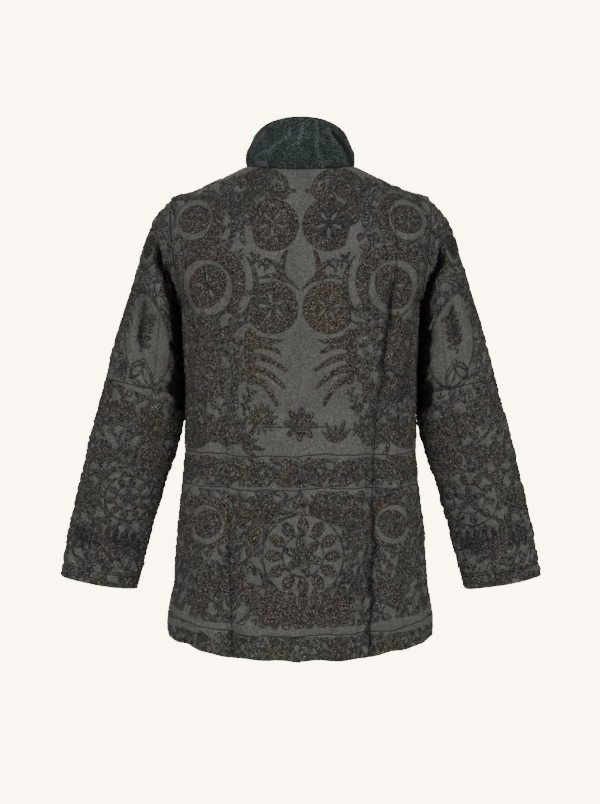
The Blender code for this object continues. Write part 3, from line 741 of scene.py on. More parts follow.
def leaf_fan(cloth, centre, size, thread, count=7, spread=150, turn=0):
    """Leaves fanned out from one point."""
    def shape(x, y):
        best = np.full_like(x, -1.0)
        for number in range(count):
            angle = math.radians(spread * (number / (count - 1) - 0.5))
            a, b = x * math.cos(angle) - y * math.sin(angle), y * math.cos(angle) + x * math.sin(angle)
            best = np.maximum(best, leaf(a, b - size * 0.1, size * (0.8 + 0.2 * (number % 2)), size * 0.18))
        return best
    cloth.sew(centre, size * 1.1, shape, thread, turn, channel=0.0024)


def sprig(cloth, centre, length, thread, turn=0, bend=0.2, pairs=4):
    """A bent stem with pairs of small leaves."""
    def shape(x, y):
        path = bow((0, 0), (length * bend, length * 0.5), (0, length))
        best = stroke(x, y, path, 0.0022, 0.0014)
        for number in range(pairs):
            share = (number + 0.6) / pairs
            at_x, at_y = 2 * share * (1 - share) * length * bend, share * length
            for way in (1, -1):
                a, b = way * (x - at_x), y - at_y
                tilted = (a * 0.6 - b * 0.8, a * 0.8 + b * 0.6)
                best = np.maximum(best, leaf(tilted[0], tilted[1], length * 0.30, length * 0.12))
        return best
    cloth.sew(centre, length * 1.2, shape, thread, turn, channel=0.0022)


def curl(cloth, centre, radius, thread, way=1, turn=0, turns=1.35):
    path = spiral(radius, turns)
    cloth.sew(centre, radius * 1.3, lambda x, y: stroke(way * x, y, path, radius * 0.24, radius * 0.13), thread, turn, channel=0.002)


def comma(cloth, centre, size, thread, way=1, turn=0):
    """A fat hook: a round head with a tail that wraps round it."""
    def shape(x, y):
        x = way * x
        head = disc(x, y, size * 0.42)
        tail = stroke(x, y, bow((size * 0.05, size * 0.36), (size * 1.15, size * 0.35), (size * 0.55, -size * 0.75)), size * 0.24, size * 0.06)
        return np.maximum(head, tail)
    cloth.sew(centre, size * 1.2, shape, thread, turn)


def garland(cloth, centre, width, thread, droop=0.012, thick=0.012):
    """A thick swag with leaves standing on it."""
    def shape(x, y):
        best = stroke(x, y, bow((-width / 2, 0), (0, -2 * droop), (width / 2, 0)), thick, thick)
        for number in range(-3, 4):
            place = number * width / 7
            best = np.maximum(best, leaf(x - place, y + droop * 0.4, thick * 2.5, thick))
            best = np.maximum(best, leaf(x - place - 0.008, -y - droop * 0.6, thick * 2.1, thick))
        return best
    cloth.sew(centre, width * 0.62, shape, thread)


def arch(cloth, centre, radius, half, thread, spread=70, turn=0):
    """A bent bar of stitches, part of a circle, thick in the middle."""
    def shape(x, y):
        off = np.arctan2(x, y) / math.radians(spread / 2)
        return ring(x, y, radius, half) - half * 1.15 * off**2
    cloth.sew(centre, radius + half, shape, thread, turn)


def scatter(cloth, box, pitch, share, threads):
    """Small commas, leaf pairs and curls over a box, a share of its cells left bare."""
    left, right, low, high = box
    dice = random.Random(int(pitch * 1e5))
    for row in range(int((high - low) / pitch) + 1):
        for column in range(int((right - left) / pitch) + 1):
            shift_x, shift_y, turn = dice.uniform(-0.2, 0.2), dice.uniform(-0.2, 0.2), dice.uniform(0, 360)
            kind, thread, skipped = dice.randrange(4), dice.choice(threads), dice.random() > share
            centre = (left + pitch * (column + 0.5 * (row % 2) + shift_x), low + pitch * (row + shift_y))
            if skipped:
                continue
            if kind == 0:
                comma(cloth, centre, pitch * 0.46, thread, 1, turn)
            elif kind == 1:
                leaf_fan(cloth, centre, pitch * 0.60, thread, 3, 100, turn)
            elif kind == 2:
                curl(cloth, centre, pitch * 0.40, thread, 1, turn, 1.1)
            else:
                sprig(cloth, centre, pitch * 0.85, thread, turn, 0.3, 3)


# %% [markdown]
# ## Where the motifs go
# The back has a mirrored order about its middle, with hand-made differences. Heights are metres
# below the neck point. The fronts, which the photo doesn't show, get the same kinds of motif in
# their own order. The sleeves carry a long drop shape above and a wheel below.

# %% The back and its sides
PIECED_LINES = (-0.5175, -0.4640)
EARTHY = ("brown", "grey", "olive", "plum", "grey", "rust")


def embroider_back(across, up):
    cloth = Pattern(across, up)
    cloth.cover((-0.26, 0.26, -0.732, -0.521), 0.0080, -0.22)
    cloth.cover((-0.26, 0.26, -0.800, -0.750), 0.0070, 0.30)
    cloth.cover((0.10, 0.26, -0.445, -0.02), 0.0080, -0.10)
    cloth.cover((-0.26, -0.10, -0.445, -0.02), 0.0080, -0.15)
    cloth.cover((-0.26, 0.26, -0.513, -0.469), 0.0050, -0.18)
    scatter(cloth, (-0.26, 0.26, -0.722, -0.524), 0.0185, 1.0, EARTHY)
    scatter(cloth, (-0.26, 0.26, -0.80, -0.752), 0.0150, 1.0, EARTHY)
    scatter(cloth, (0.09, 0.26, -0.445, -0.02), 0.0200, 0.88, EARTHY)
    scatter(cloth, (-0.26, -0.09, -0.445, -0.02), 0.0195, 0.90, EARTHY)
    for half in (1, -1):
        cloth.half = half
        near, far = ("plum", "brown") if half > 0 else ("brown", "rust")
        arch(cloth, (0.062, -0.088), 0.072, 0.0105, "brown", 86, -4)
        seed_disc(cloth, (0.0440, -0.098), 0.0405, near, -14)
        sprig(cloth, (0.010, -0.044), 0.062, far, -80, 0.22, 5)
        arch(cloth, (0.030, -0.100), 0.078, 0.0060, far, 60, -36)
        sprig(cloth, (0.084, -0.020), 0.070, "brown", 190, 0.16, 5)
        arch(cloth, (0.012, -0.105), 0.083, 0.0048, "brown", 60, -52)
        eye_oval(cloth, (0.164, -0.088), 0.042, "brown", near, 84)
        arch(cloth, (0.166, -0.092), 0.063, 0.0065, "slate", 116, 78)
        horns(cloth, (0.026, -0.166), 0.032, far)
        sprig(cloth, (0.076, -0.142), 0.034, "brown", 130, -0.2, 3)
        seed_disc(cloth, (0.0445, -0.228), 0.0405, far, 10)
        arch(cloth, (0.044, -0.228), 0.050, 0.0032, "brown", 90, 14)
        arch(cloth, (0.044, -0.226), 0.055, 0.0040, "brown", 60, 190)
        eye_oval(cloth, (0.143, -0.186), 0.056, near, near, 40)
        arch(cloth, (0.138, -0.190), 0.068, 0.0040, "brown", 100, 98)
        leaf_fan(cloth, (0.164, -0.280), 0.042, far, 7, 170, 6)
        finger_spray(cloth, (0.079, -0.318), 0.048, "rust" if half > 0 else "plum")
        arch(cloth, (0.078, -0.290), 0.040, 0.0040, "brown", 100, -50)
        seed_disc(cloth, (0.163, -0.336), 0.045, near, 170)
        arch(cloth, (0.163, -0.338), 0.059, 0.0062, "brown", 120, 92)
        sprig(cloth, (0.090, -0.398), 0.040, "brown", 20, 0.2, 3)
        leaf_fan(cloth, (0.150, -0.447), 0.052, "brown", 8, 150, -24)
        leaf_fan(cloth, (0.208, -0.450), 0.050, far, 7, 150, 10)
        eye_oval(cloth, (0.150, -0.572), 0.040, "rust", "brown", 60)
        arch(cloth, (-0.004 * half, -0.622), 0.084, 0.0100, "ochre" if half > 0 else "brown", 74, -58)
        comma(cloth, (0.093, -0.560), 0.030, near, -1, 20)
        horns(cloth, (0.078, -0.676), 0.044, near, -34)
        leaf_fan(cloth, (0.146, -0.690), 0.050, "brown", 9, 210, -30)
        arch(cloth, (0.216, -0.640), 0.046, 0.0050, "olive", 150, 80)
        arch(cloth, (0.222, -0.640), 0.030, 0.0050, far, 150, 80)
        comma(cloth, (0.206, -0.575), 0.028, "plum", 1, 160)
        leaf_fan(cloth, (0.214, -0.228), 0.030, "brown", 6, 160, -30)
    cloth.half = 1
    star(cloth, (0.000, -0.4135), 0.0280, "plum", 8, 4)
    sunburst(cloth, (0.062, -0.4055), 0.026, "ochre")
    leaf_fan(cloth, (0.098, -0.448), 0.038, "plum", 8, 190, 30)
    leaf_fan(cloth, (-0.058, -0.446), 0.036, "brown", 5, 90, -4)
    leaf_fan(cloth, (-0.104, -0.444), 0.042, "olive", 7, 120, 30)
    sprig(cloth, (0.030, -0.548), 0.070, "rust", -86, 0.1, 5)
    sprig(cloth, (-0.020, -0.548), 0.070, "plum", 86, -0.1, 5)
    rosette(cloth, (-0.004, -0.6217), 0.063, "brown", "olive", 12, 0.50)
    garland(cloth, (-0.004, -0.704), 0.130, "plum", 0.010, 0.014)
    places = (0.204, 0.158, 0.110, 0.064, 0.020, -0.026, -0.072, -0.118, -0.164, -0.208)
    for number, place in enumerate(places):
        way = 1 if number % 3 else -1
        thread = ("brown", "plum", "olive", "brown", "rust")[number % 5]
        curl(cloth, (place, -0.4915 + 0.002 * (number % 2)), 0.0185 + 0.0015 * (number % 3), thread, way, 65 * number, 1.5)
        leaf_fan(cloth, (place - 0.023, -0.506), 0.020, thread, 3, 70, 10 * way)
    for patch in ((0.195, -0.60, "rust"), (0.09, -0.555, "ochre"), (0.06, -0.61, "ochre"), (-0.02, -0.545, "rust"),
                  (0.10, -0.29, "rust"), (0.17, -0.27, "rust"), (-0.19, -0.545, "ochre"), (-0.17, -0.64, "olive"),
                  (-0.20, -0.68, "olive"), (0.11, -0.765, "olive"), (0.03, -0.775, "ochre"), (-0.06, -0.772, "rust"),
                  (-0.15, -0.765, "ochre"), (0.19, -0.72, "plum"), (0.05, -0.68, "plum"), (-0.09, -0.66, "dark"),
                  (0.10, -0.49, "ochre"), (0.20, -0.44, "olive"), (-0.05, -0.10, "dark"), (-0.17, -0.36, "dark")):
        cloth.tint(patch[:2], 0.040, patch[2])
    cloth.sew((0, -0.4185), 0.07, lambda x, y: stroke(x, y, [(-0.052, 0.001), (0.010, 0), (0.063, 0.001)], 0.0007, 0.0007), "dark")
    cloth.clear((0, -0.742), 0.3, lambda x, y: 0.0065 - np.abs(y - 0.3 * x**2 + 0.002 * np.sin(x / 0.02)))
    return cloth


# %% The fronts
def embroider_front(across, up):
    cloth = Pattern(across, up)
    cloth.cover((-0.28, 0.28, -0.732, -0.521), 0.0080, -0.15)
    cloth.cover((-0.28, 0.28, -0.800, -0.750), 0.0070, 0.30)
    cloth.cover((-0.28, 0.28, -0.445, -0.02), 0.0080, -0.10)
    scatter(cloth, (-0.28, 0.28, -0.722, -0.524), 0.0190, 1.0, EARTHY)
    scatter(cloth, (-0.28, 0.28, -0.80, -0.752), 0.0150, 1.0, EARTHY)
    scatter(cloth, (-0.28, 0.28, -0.445, -0.02), 0.0205, 0.85, EARTHY)
    for half in (1, -1):
        cloth.half = half
        near, far = ("plum", "brown") if half > 0 else ("brown", "rust")
        eye_oval(cloth, (0.158, -0.110), 0.040, "brown", near, 70)
        seed_disc(cloth, (0.060, -0.150 - 0.004 * half), 0.038, near, -20)
        arch(cloth, (0.060, -0.150), 0.052, 0.0050, "brown", 120, 180)
        eye_oval(cloth, (0.130, -0.212), 0.052, far, near, 30)
        horns(cloth, (0.032, -0.236), 0.032, far)
        rosette(cloth, (0.082, -0.330 + 0.004 * half), 0.052, "brown", "plum", 10, 0.48)
        leaf_fan(cloth, (0.178, -0.310), 0.044, "rust", 7, 160, -20)
        star(cloth, (0.040, -0.4160), 0.026, near, 8, 10)
        leaf_fan(cloth, (0.105, -0.450), 0.046, "brown", 7, 130, 12)
        sunburst(cloth, (0.170, -0.418), 0.026, "ochre")
        comma(cloth, (0.062, -0.570), 0.034, "brown", 1, 15)
        horns(cloth, (0.060, -0.690), 0.042, near, -20)
        rosette(cloth, (0.155, -0.622), 0.050, "brown", "olive", 10, 0.50)
        leaf_fan(cloth, (0.150, -0.720), 0.040, "olive", 8, 190, 14)
        finger_spray(cloth, (0.222, -0.680), 0.036, "brown")
        finger_spray(cloth, (0.204, -0.235), 0.034, "brown", 20)
        for number in range(5):
            place = 0.030 + 0.045 * number
            curl(cloth, (place, -0.4915), 0.0190, ("plum", "brown", "rust")[number % 3], (-1) ** number, 70 * number, 1.5)
            leaf_fan(cloth, (place + 0.022, -0.506), 0.020, "brown", 3, 70)
        for patch in ((0.05, -0.55, "ochre"), (0.18, -0.52, "olive"), (0.09, -0.70, "rust"), (0.15, -0.27, "rust")):
            cloth.tint(patch[:2], 0.038, patch[2])
    cloth.clear((0, -0.738), 0.3, lambda x, y: 0.0065 - np.abs(y - 0.2 * x**2 + 0.002 * np.sin(x / 0.02)))
    return cloth


# %% The sleeves
def embroider_sleeve(around, down, side):
    """Around is measured from the middle of the sleeve's back, positive outward."""
    cloth = Pattern(around, -down)
    cloth.cover((-0.15, 0.15, -0.640, -0.275), 0.0072, -0.14)
    cloth.cover((0.035, 0.15, -0.265, -0.005), 0.0070, 0.05)
    cloth.cover((-0.15, 0.04, -0.115, -0.005), 0.0070, 0.00)
    scatter(cloth, (-0.14, 0.14, -0.64, -0.268), 0.0180 if side > 0 else 0.0185, 1.0, EARTHY)
    scatter(cloth, (-0.15, 0.15, -0.250, -0.005), 0.0195 if side > 0 else 0.0200, 0.75, ("brown", "grey", "olive", "grey"))
    shift = 0.0 if side > 0 else -0.006
    def drop(x, y):
        return disc(x * (0.88 - 0.20 * y / 0.07), (y - 0.012) * 0.58, 0.042)
    centre = (0.006 + shift, -0.200)
    cloth.clear(centre, 0.085, drop)
    cloth.line(centre, 0.085, drop, -8)
    sprig(cloth, (centre[0] + 0.010, centre[1] - 0.008), 0.066, "brown", 6, 0.1, 5)
    low = centre[1] - 0.040
    cloth.line((centre[0] + 0.002, low - 0.004), 0.028, lambda x, y: disc(x, y, 0.020))
    cloth.line((centre[0] + 0.002, low + 0.018), 0.010, lambda x, y: disc(x, y, 0.0045))
    for half in (1, -1):
        cloth.line((centre[0] + 0.002, low + 0.012), 0.040, lambda x, y: leaf(x, y, 0.036, 0.012), 180 + 34 * half)
    cloth.sew((-0.045, -0.582), 0.05, lambda x, y: stroke(x, y, [(-0.042, 0.002), (0.040, -0.001)], 0.0008, 0.0008), "dark")
    for half in (1, -1):
        cloth.half = half
        finger_spray(cloth, (0.078, -0.165), 0.030, "brown", 12)
        eye_oval(cloth, (0.052, -0.060), 0.030, "brown", "dark", 30)
        arch(cloth, (0.052, -0.060), 0.042, 0.0035, "brown", 90, 40)
    cloth.half = 1
    curl(cloth, (0.070, -0.316), 0.0185, "plum", side, 0, 1.5)
    curl(cloth, (0.026, -0.312), 0.0170, "brown", -side, 50, 1.5)
    curl(cloth, (-0.016, -0.318), 0.0190, "rust", side, 140, 1.5)
    curl(cloth, (-0.060, -0.316), 0.0180, "olive", -side, 210, 1.5)
    arch(cloth, (-0.022, -0.400), 0.034, 0.0060, "brown", 130, -30)
    seed_disc(cloth, (-0.040, -0.376), 0.022, "plum", 30)
    leaf_fan(cloth, (0.034, -0.402), 0.036, "brown", 7, 150, -20)
    rosette(cloth, (-0.020 + shift, -0.452), 0.046 if side < 0 else 0.038, "brown", "slate", 10, 0.55)
    arch(cloth, (-0.020 + shift, -0.452), 0.055, 0.0045, "brown", 120, -66)
    leaf_fan(cloth, (0.066, -0.486), 0.040, "brown", 7, 150, 20)
    star(cloth, (-0.074, -0.420), 0.018, "plum", 7)
    garland(cloth, (0.000, -0.528), 0.100, "dark", 0.006, 0.010)
    for patch in ((-0.03, -0.33, "rust"), (-0.03, -0.38, "plum"), (0.0, -0.55, "plum"), (-0.02, -0.60, "ochre"),
                  (0.04, -0.46, "olive"), (0.02, -0.50, "olive")):
        cloth.tint(patch[:2], 0.034, patch[2])
    return cloth


print("thread colours", ", ".join(THREADS))

# %% [markdown]
# ## From sheet to cloth
# A piece is a closed wall: an outer face, an inner face half a thickness either side of the
# sheet, and a soft rounded rim. The outer points also rise where the cloth is sewn and sink at
# each channel, seam and line of quilting.

# %% Walls of cloth
SEAM_DIP, SEAM_SOFT = 0.0013, 0.0032
RELIEF, GROOVE = 0.0011, 0.0009
RIM_ROUND = 0.0008


def net_normals(points):
    """Outward normals of a net of points."""
    across = np.gradient(points, axis=1)
    along = np.gradient(points, axis=0)
    normals = np.cross(across, along)
    size = np.linalg.norm(normals, axis=-1, keepdims=True)
    normals = normals / np.maximum(size, 1e-12)
    flat = size[..., 0] < 1e-12
    if flat[-1].any():
        normals[-1] = normals[-2].mean(axis=0)
    return unit(normals)


def edge_distance(points, edges):
    """How far each point is from its sewn edges, each one given more where it shows less."""
    across = np.linalg.norm(np.diff(points, axis=1), axis=-1)
    along = np.linalg.norm(np.diff(points, axis=0), axis=-1)
    nearest = np.full(points.shape[:2], 1.0)
    left = np.concatenate([np.zeros((len(points), 1)), np.cumsum(across, axis=1)], axis=1)
    foot = np.concatenate([np.zeros((1, points.shape[1])), np.cumsum(along, axis=0)], axis=0)
    options = {"left": left, "right": left[:, -1:] - left, "bottom": foot, "top": foot[-1:] - foot}
    for edge, hushed in edges.items():
        nearest = np.minimum(nearest, options[edge] + hushed)
    return nearest


def between_lines(value, lines):
    """A signed measure that is zero only on the given lines, in rising order."""
    result = value - lines[0]
    for number in range(1, len(lines)):
        gap = lines[number] - lines[number - 1]
        sign = (-1) ** (number - 1)
        share = (value - lines[number - 1]) / gap
        wave = sign * gap / math.pi * np.sin(math.pi * share)
        result = np.where(value > lines[number - 1], wave, result)
        result = np.where(value > lines[number], -sign * (value - lines[number]), result)
    return result


def inner_faces(rows, columns, number):
    """Wide inner faces that keep every border point, so that the wall stays closed."""
    row_stops = list(range(0, rows - 1, COARSE)) + [rows - 1]
    column_stops = list(range(0, columns - 1, COARSE)) + [columns - 1]
    faces = []
    for low, high in zip(row_stops, row_stops[1:]):
        for near, far in zip(column_stops, column_stops[1:]):
            loop = [(low, j) for j in (range(near, far + 1) if low == 0 else (near, far))]
            loop += [(i, far) for i in range(low + 1, high) if far == columns - 1]
            loop += [(high, j) for j in (range(far, near - 1, -1) if high == rows - 1 else (far, near))]
            loop += [(i, near) for i in range(high - 1, low, -1) if near == 0]
            faces.append([int(number[spot]) for spot in reversed(loop)])
    return faces


def wall_mesh(name, outer, inner, middle, flip, facts):
    """A closed mesh from the outer and inner nets and the sheet between, with point facts."""
    rows, columns = outer.shape[:2]
    count = rows * columns
    number = np.arange(count).reshape(rows, columns)
    kept = np.zeros((rows, columns), bool)
    kept[::COARSE, ::COARSE] = True
    kept[[0, -1], :] = True
    kept[:, [0, -1]] = True
    below = np.zeros((rows, columns), int)
    below[kept] = count + np.arange(kept.sum())
    loop = [(0, j) for j in range(columns)] + [(i, columns - 1) for i in range(1, rows)]
    loop += [(rows - 1, j) for j in range(columns - 2, -1, -1)] + [(i, 0) for i in range(rows - 2, 0, -1)]
    loop = np.array(loop)
    edge, under = number[loop[:, 0], loop[:, 1]], below[loop[:, 0], loop[:, 1]]
    rim = count + int(kept.sum()) + np.arange(len(loop))
    quads = np.stack([number[:-1, :-1], number[:-1, 1:], number[1:, 1:], number[1:, :-1]], -1).reshape(-1, 4)
    upper = np.stack([np.roll(edge, -1), edge, rim, np.roll(rim, -1)], -1)
    lower = np.stack([np.roll(rim, -1), rim, under, np.roll(under, -1)], -1)
    lining = inner_faces(rows, columns, below)
    faces = quads.tolist() + lining + upper.tolist() + lower.tolist()
    spots = np.concatenate([outer.reshape(-1, 3), inner[kept], middle])
    if flip:
        spots = spots * np.array([-1, 1, 1])
        faces = [face[::-1] for face in faces]
    mesh = bpy.data.meshes.new(name)
    mesh.from_pydata(spots.tolist(), [], faces)
    inside = np.zeros(len(faces), int)
    inside[len(quads) : len(quads) + len(lining)] = 1
    mesh.polygons.foreach_set("material_index", inside)
    for fact, value in facts.items():
        value = np.asarray(value)
        on_rim = value[loop[:, 0], loop[:, 1]].reshape(len(loop), -1)
        whole = np.concatenate([value.reshape(count, -1), value[kept].reshape(int(kept.sum()), -1), on_rim])
        if value.ndim == 3:
            layer = mesh.attributes.new(fact, "FLOAT_COLOR", "POINT")
            colour = np.concatenate([whole, np.ones((len(whole), 1))], axis=1)
            layer.data.foreach_set("color", colour.astype(np.float32).ravel())
        else:
            layer = mesh.attributes.new(fact, "FLOAT", "POINT")
            layer.data.foreach_set("value", whole[:, 0].astype(np.float32))
    return mesh


def cloth_wall(name, points, normals, thickness, relief, facts, materials, mirror=False, pole=False, free=()):
    """One piece of cloth as a closed wall, replacing the solid of the same name."""
    outer = points + normals * (thickness / 2 + relief)[..., None]
    inner = points - normals * (thickness / 2)
    rows, columns = points.shape[:2]
    outward = points.copy() * 0
    outward[0] += points[0] - points[1]
    outward[-1] += points[-1] - points[-2]
    outward[:, 0] += points[:, 0] - points[:, 1]
    outward[:, -1] += points[:, -1] - points[:, -2]
    reach = np.zeros((rows, columns))
    spans = {"bottom": (0, slice(None)), "top": (-1, slice(None)), "left": (slice(None), 0), "right": (slice(None), -1)}
    for edge in free:
        reach[spans[edge]] = RIM_ROUND
    middle_net = points + unit(outward) * reach[..., None]
    loop = [(0, j) for j in range(columns)] + [(i, columns - 1) for i in range(1, rows)]
    loop += [(rows - 1, j) for j in range(columns - 2, -1, -1)] + [(i, 0) for i in range(rows - 2, 0, -1)]
    middle = np.array([middle_net[i, j] for i, j in loop])
    mesh = wall_mesh(name, outer, inner, middle, mirror, facts)
    if pole:
        shell = bmesh.new()
        shell.from_mesh(mesh)
        bmesh.ops.remove_doubles(shell, verts=shell.verts, dist=2e-6)
        shell.to_mesh(mesh)
        shell.free()
    mesh.shade_smooth()
    for material in materials:
        mesh.materials.append(material)
    piece = bpy.data.objects.new(f"cloth_{name}", mesh)
    bpy.context.scene.collection.objects.link(piece)
    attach(piece, "root")
    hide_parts(name)
    return piece


def soft_hills(a, b, size=0.0010):
    """Faint unevenness of thick worn cloth, from a few crossing swells."""
    hills = np.sin(a / 0.031 + 1.7 * np.sin(b / 0.057)) * np.sin(b / 0.043 + 0.9)
    hills = hills + 0.6 * np.sin(a / 0.017 - b / 0.026 + 0.4) * np.sin(b / 0.019 + a / 0.049)
    hills = hills + 0.42 * np.sin(a / 0.0033 + 2.1 * np.sin(b / 0.013)) * np.sin(b / 0.0029 + 1.9 * np.sin(a / 0.015))
    return size * hills


def raised(depth, lines):
    """How far the stitched relief stands out, and how deep the channels and lines sink."""
    sewn = RELIEF * smooth(depth / (1.6 * MM) + 0.3)
    channel = GROOVE * np.exp(-((depth + 0.7 * MM) / (1.3 * MM)) ** 2)
    quilting = 1.3 * GROOVE * np.exp(-(lines / (1.8 * MM)) ** 2)
    return sewn - channel - quilting


# %% [markdown]
# ## Materials
# Four finishes: the embroidered face, the plain reverse, the collar's pile and the sewing
# thread. The face mixes a smooth dark ground with chain stitch. The stitches run in rows that
# follow each motif's outline, so the stored depth, passed through a sine, draws the rows. Fine
# noise then breaks them into single loops whose bright flecks are partly paler thread and partly
# painted highlight, with dark squiggles between them that are partly painted shade.

# %% Node helpers
def new_material(name, roughness):
    material = bpy.data.materials.new(name)
    material.use_nodes = True
    shader = material.node_tree.nodes["Principled BSDF"]
    shader.inputs["Roughness"].default_value = roughness
    shader.inputs["Specular IOR Level"].default_value = 0.22
    return material, material.node_tree, shader


def add(tree, kind, **settings):
    node = tree.nodes.new(kind)
    for name, value in settings.items():
        setattr(node, name, value)
    return node


def feed(tree, value, socket):
    """Join a socket to another, or set it to a plain value."""
    if isinstance(value, bpy.types.NodeSocket):
        tree.links.new(value, socket)
    else:
        socket.default_value = value


def maths(tree, operation, *values, clamp=False):
    node = add(tree, "ShaderNodeMath", operation=operation, use_clamp=clamp)
    for number, value in enumerate(values):
        feed(tree, value, node.inputs[number])
    return node.outputs[0]


def step_between(tree, value, low, high, start=0.0, end=1.0):
    """A soft step from start to end as the value passes from low to high."""
    node = add(tree, "ShaderNodeMapRange", interpolation_type="SMOOTHSTEP")
    feed(tree, value, node.inputs["Value"])
    for name, number in (("From Min", low), ("From Max", high), ("To Min", start), ("To Max", end)):
        node.inputs[name].default_value = number
    return node.outputs["Result"]


def noise(tree, place, scale, detail=2.0, roughness=0.5):
    node = add(tree, "ShaderNodeTexNoise", noise_dimensions="3D")
    feed(tree, place, node.inputs["Vector"])
    node.inputs["Scale"].default_value = scale
    node.inputs["Detail"].default_value = detail
    node.inputs["Roughness"].default_value = roughness
    return node.outputs["Fac"]


def mixed(tree, share, first, second, blend="MIX"):
    node = add(tree, "ShaderNodeMix", data_type="RGBA", blend_type=blend)
    feed(tree, share, node.inputs[0])
    feed(tree, first, node.inputs[6])
    feed(tree, second, node.inputs[7])
    return node.outputs[2]


def brightened(tree, colour, factor):
    node = add(tree, "ShaderNodeVectorMath", operation="SCALE")
    feed(tree, colour, node.inputs[0])
    feed(tree, factor, node.inputs["Scale"])
    return node.outputs[0]


def fact(tree, name):
    return add(tree, "ShaderNodeAttribute", attribute_name=name)


def bumped(tree, height, distance, strength, shader):
    node = add(tree, "ShaderNodeBump")
    node.inputs["Distance"].default_value = distance
    node.inputs["Strength"].default_value = strength
    feed(tree, height, node.inputs["Height"])
    tree.links.new(node.outputs["Normal"], shader.inputs["Normal"])


# %% The embroidered face
GROUND = (0.0835, 0.0835, 0.0768, 1)
GROUND_WORN = (0.0705, 0.0710, 0.0652, 1)


def embroidered_cloth():
    material, tree, shader = new_material("embroidered_cloth", 0.88)
    place = add(tree, "ShaderNodeTexCoord").outputs["Object"]
    depth = fact(tree, "sewn").outputs["Fac"]
    lines = fact(tree, "quilting").outputs["Fac"]
    thread = fact(tree, "thread").outputs["Color"]
    fine = noise(tree, place, 560, 2, 0.6)
    middling = noise(tree, place, 290, 2, 0.6)
    broad = noise(tree, place, 24, 3, 0.5)
    # Painted shade: the stored depth of folds and valleys, made ragged by noise, darkens the colour down to a
    # twentieth.
    painted_shade_depth = maths(tree, "MULTIPLY_ADD", maths(tree, "SUBTRACT", noise(tree, place, 170, 2, 0.6), 0.5), 12.0, fact(tree, "hollow").outputs["Fac"])
    hollow = step_between(tree, painted_shade_depth, 1.8, 15.0, 1.0, 0.05)
    ragged = maths(tree, "MULTIPLY_ADD", maths(tree, "SUBTRACT", middling, 0.5), 2.2, depth)
    mask = step_between(tree, ragged, -0.35, 0.35)
    outline = step_between(tree, maths(tree, "ABSOLUTE", maths(tree, "ADD", ragged, 0.45)), 0.05, 0.62, 1.0, 0.0)
    outline = maths(tree, "MULTIPLY", outline, step_between(tree, noise(tree, place, 150, 1, 0.5), 0.36, 0.56, 0.25, 1.0))
    seam = step_between(tree, maths(tree, "ABSOLUTE", lines), 0.3, 1.3, 1.0, 0.0)
    rows = maths(tree, "SINE", maths(tree, "MULTIPLY_ADD", ragged, 2.5, maths(tree, "MULTIPLY", middling, 3.0)))
    rows = maths(tree, "MULTIPLY_ADD", rows, 0.5, 0.5)
    # The dark squiggles and bright loop flecks are partly thread colour, partly painted shade in the gaps and partly
    # painted highlight on the loops.
    worms = maths(tree, "ABSOLUTE", maths(tree, "SUBTRACT", noise(tree, place, 270, 2, 0.6), 0.5))
    worms = step_between(tree, worms, 0.016, 0.058, 0.02, 1.0)
    loops = step_between(tree, noise(tree, place, 430, 1, 0.5), 0.42, 0.68)
    speckle = maths(tree, "MULTIPLY_ADD", loops, 1.5, maths(tree, "MULTIPLY_ADD", rows, 0.28, 0.36))
    speckle = maths(tree, "MULTIPLY", speckle, worms)
    hues = add(tree, "ShaderNodeTexNoise", noise_dimensions="3D")
    feed(tree, place, hues.inputs["Vector"])
    hues.inputs["Scale"].default_value = 260
    stray = add(tree, "ShaderNodeVectorMath", operation="MULTIPLY_ADD")
    feed(tree, hues.outputs["Color"], stray.inputs[0])
    stray.inputs[1].default_value, stray.inputs[2].default_value = (0.7, 0.7, 0.7), (0.65, 0.65, 0.65)
    sewn_colour = mixed(tree, 1.0, brightened(tree, thread, speckle), stray.outputs[0], "MULTIPLY")
    ground = mixed(tree, step_between(tree, broad, 0.35, 0.65), GROUND, GROUND_WORN)
    weave = maths(tree, "MULTIPLY", step_between(tree, fine, 0.30, 0.70, 0.62, 1.34), step_between(tree, middling, 0.3, 0.7, 0.80, 1.18))
    colour = mixed(tree, mask, brightened(tree, ground, weave), sewn_colour)
    joint = step_between(tree, fact(tree, "joint").outputs["Fac"], 0.2, 1.5, 0.8, 0.0)
    seam = maths(tree, "MULTIPLY", maths(tree, "MAXIMUM", seam, joint), step_between(tree, middling, 0.35, 0.55, 0.55, 1.0))
    dark = maths(tree, "MAXIMUM", maths(tree, "MULTIPLY", outline, 0.86), maths(tree, "MULTIPLY", seam, 0.80))
    colour = brightened(tree, colour, maths(tree, "SUBTRACT", 1.0, dark))
    # Painted shade towards the top and painted light near the hem: the colour is scaled by height.
    height_now = add(tree, "ShaderNodeSeparateXYZ")
    feed(tree, place, height_now.inputs[0])
    above = step_between(tree, height_now.outputs[2], -0.30, -0.08, 1.0, 0.92)
    below = step_between(tree, height_now.outputs[2], -0.80, -0.55, 1.04, 1.0)
    colour = brightened(tree, colour, maths(tree, "MULTIPLY", hollow, maths(tree, "MULTIPLY", above, below)))
    tree.links.new(colour, shader.inputs["Base Color"])
    relief = maths(tree, "MULTIPLY", mask, maths(tree, "MULTIPLY_ADD", loops, 0.9, maths(tree, "MULTIPLY", worms, 0.6)))
    height = maths(tree, "SUBTRACT", maths(tree, "MULTIPLY_ADD", fine, 0.25, relief), maths(tree, "MULTIPLY", dark, 0.8))
    bumped(tree, height, 0.0012, 0.80, shader)
    return material


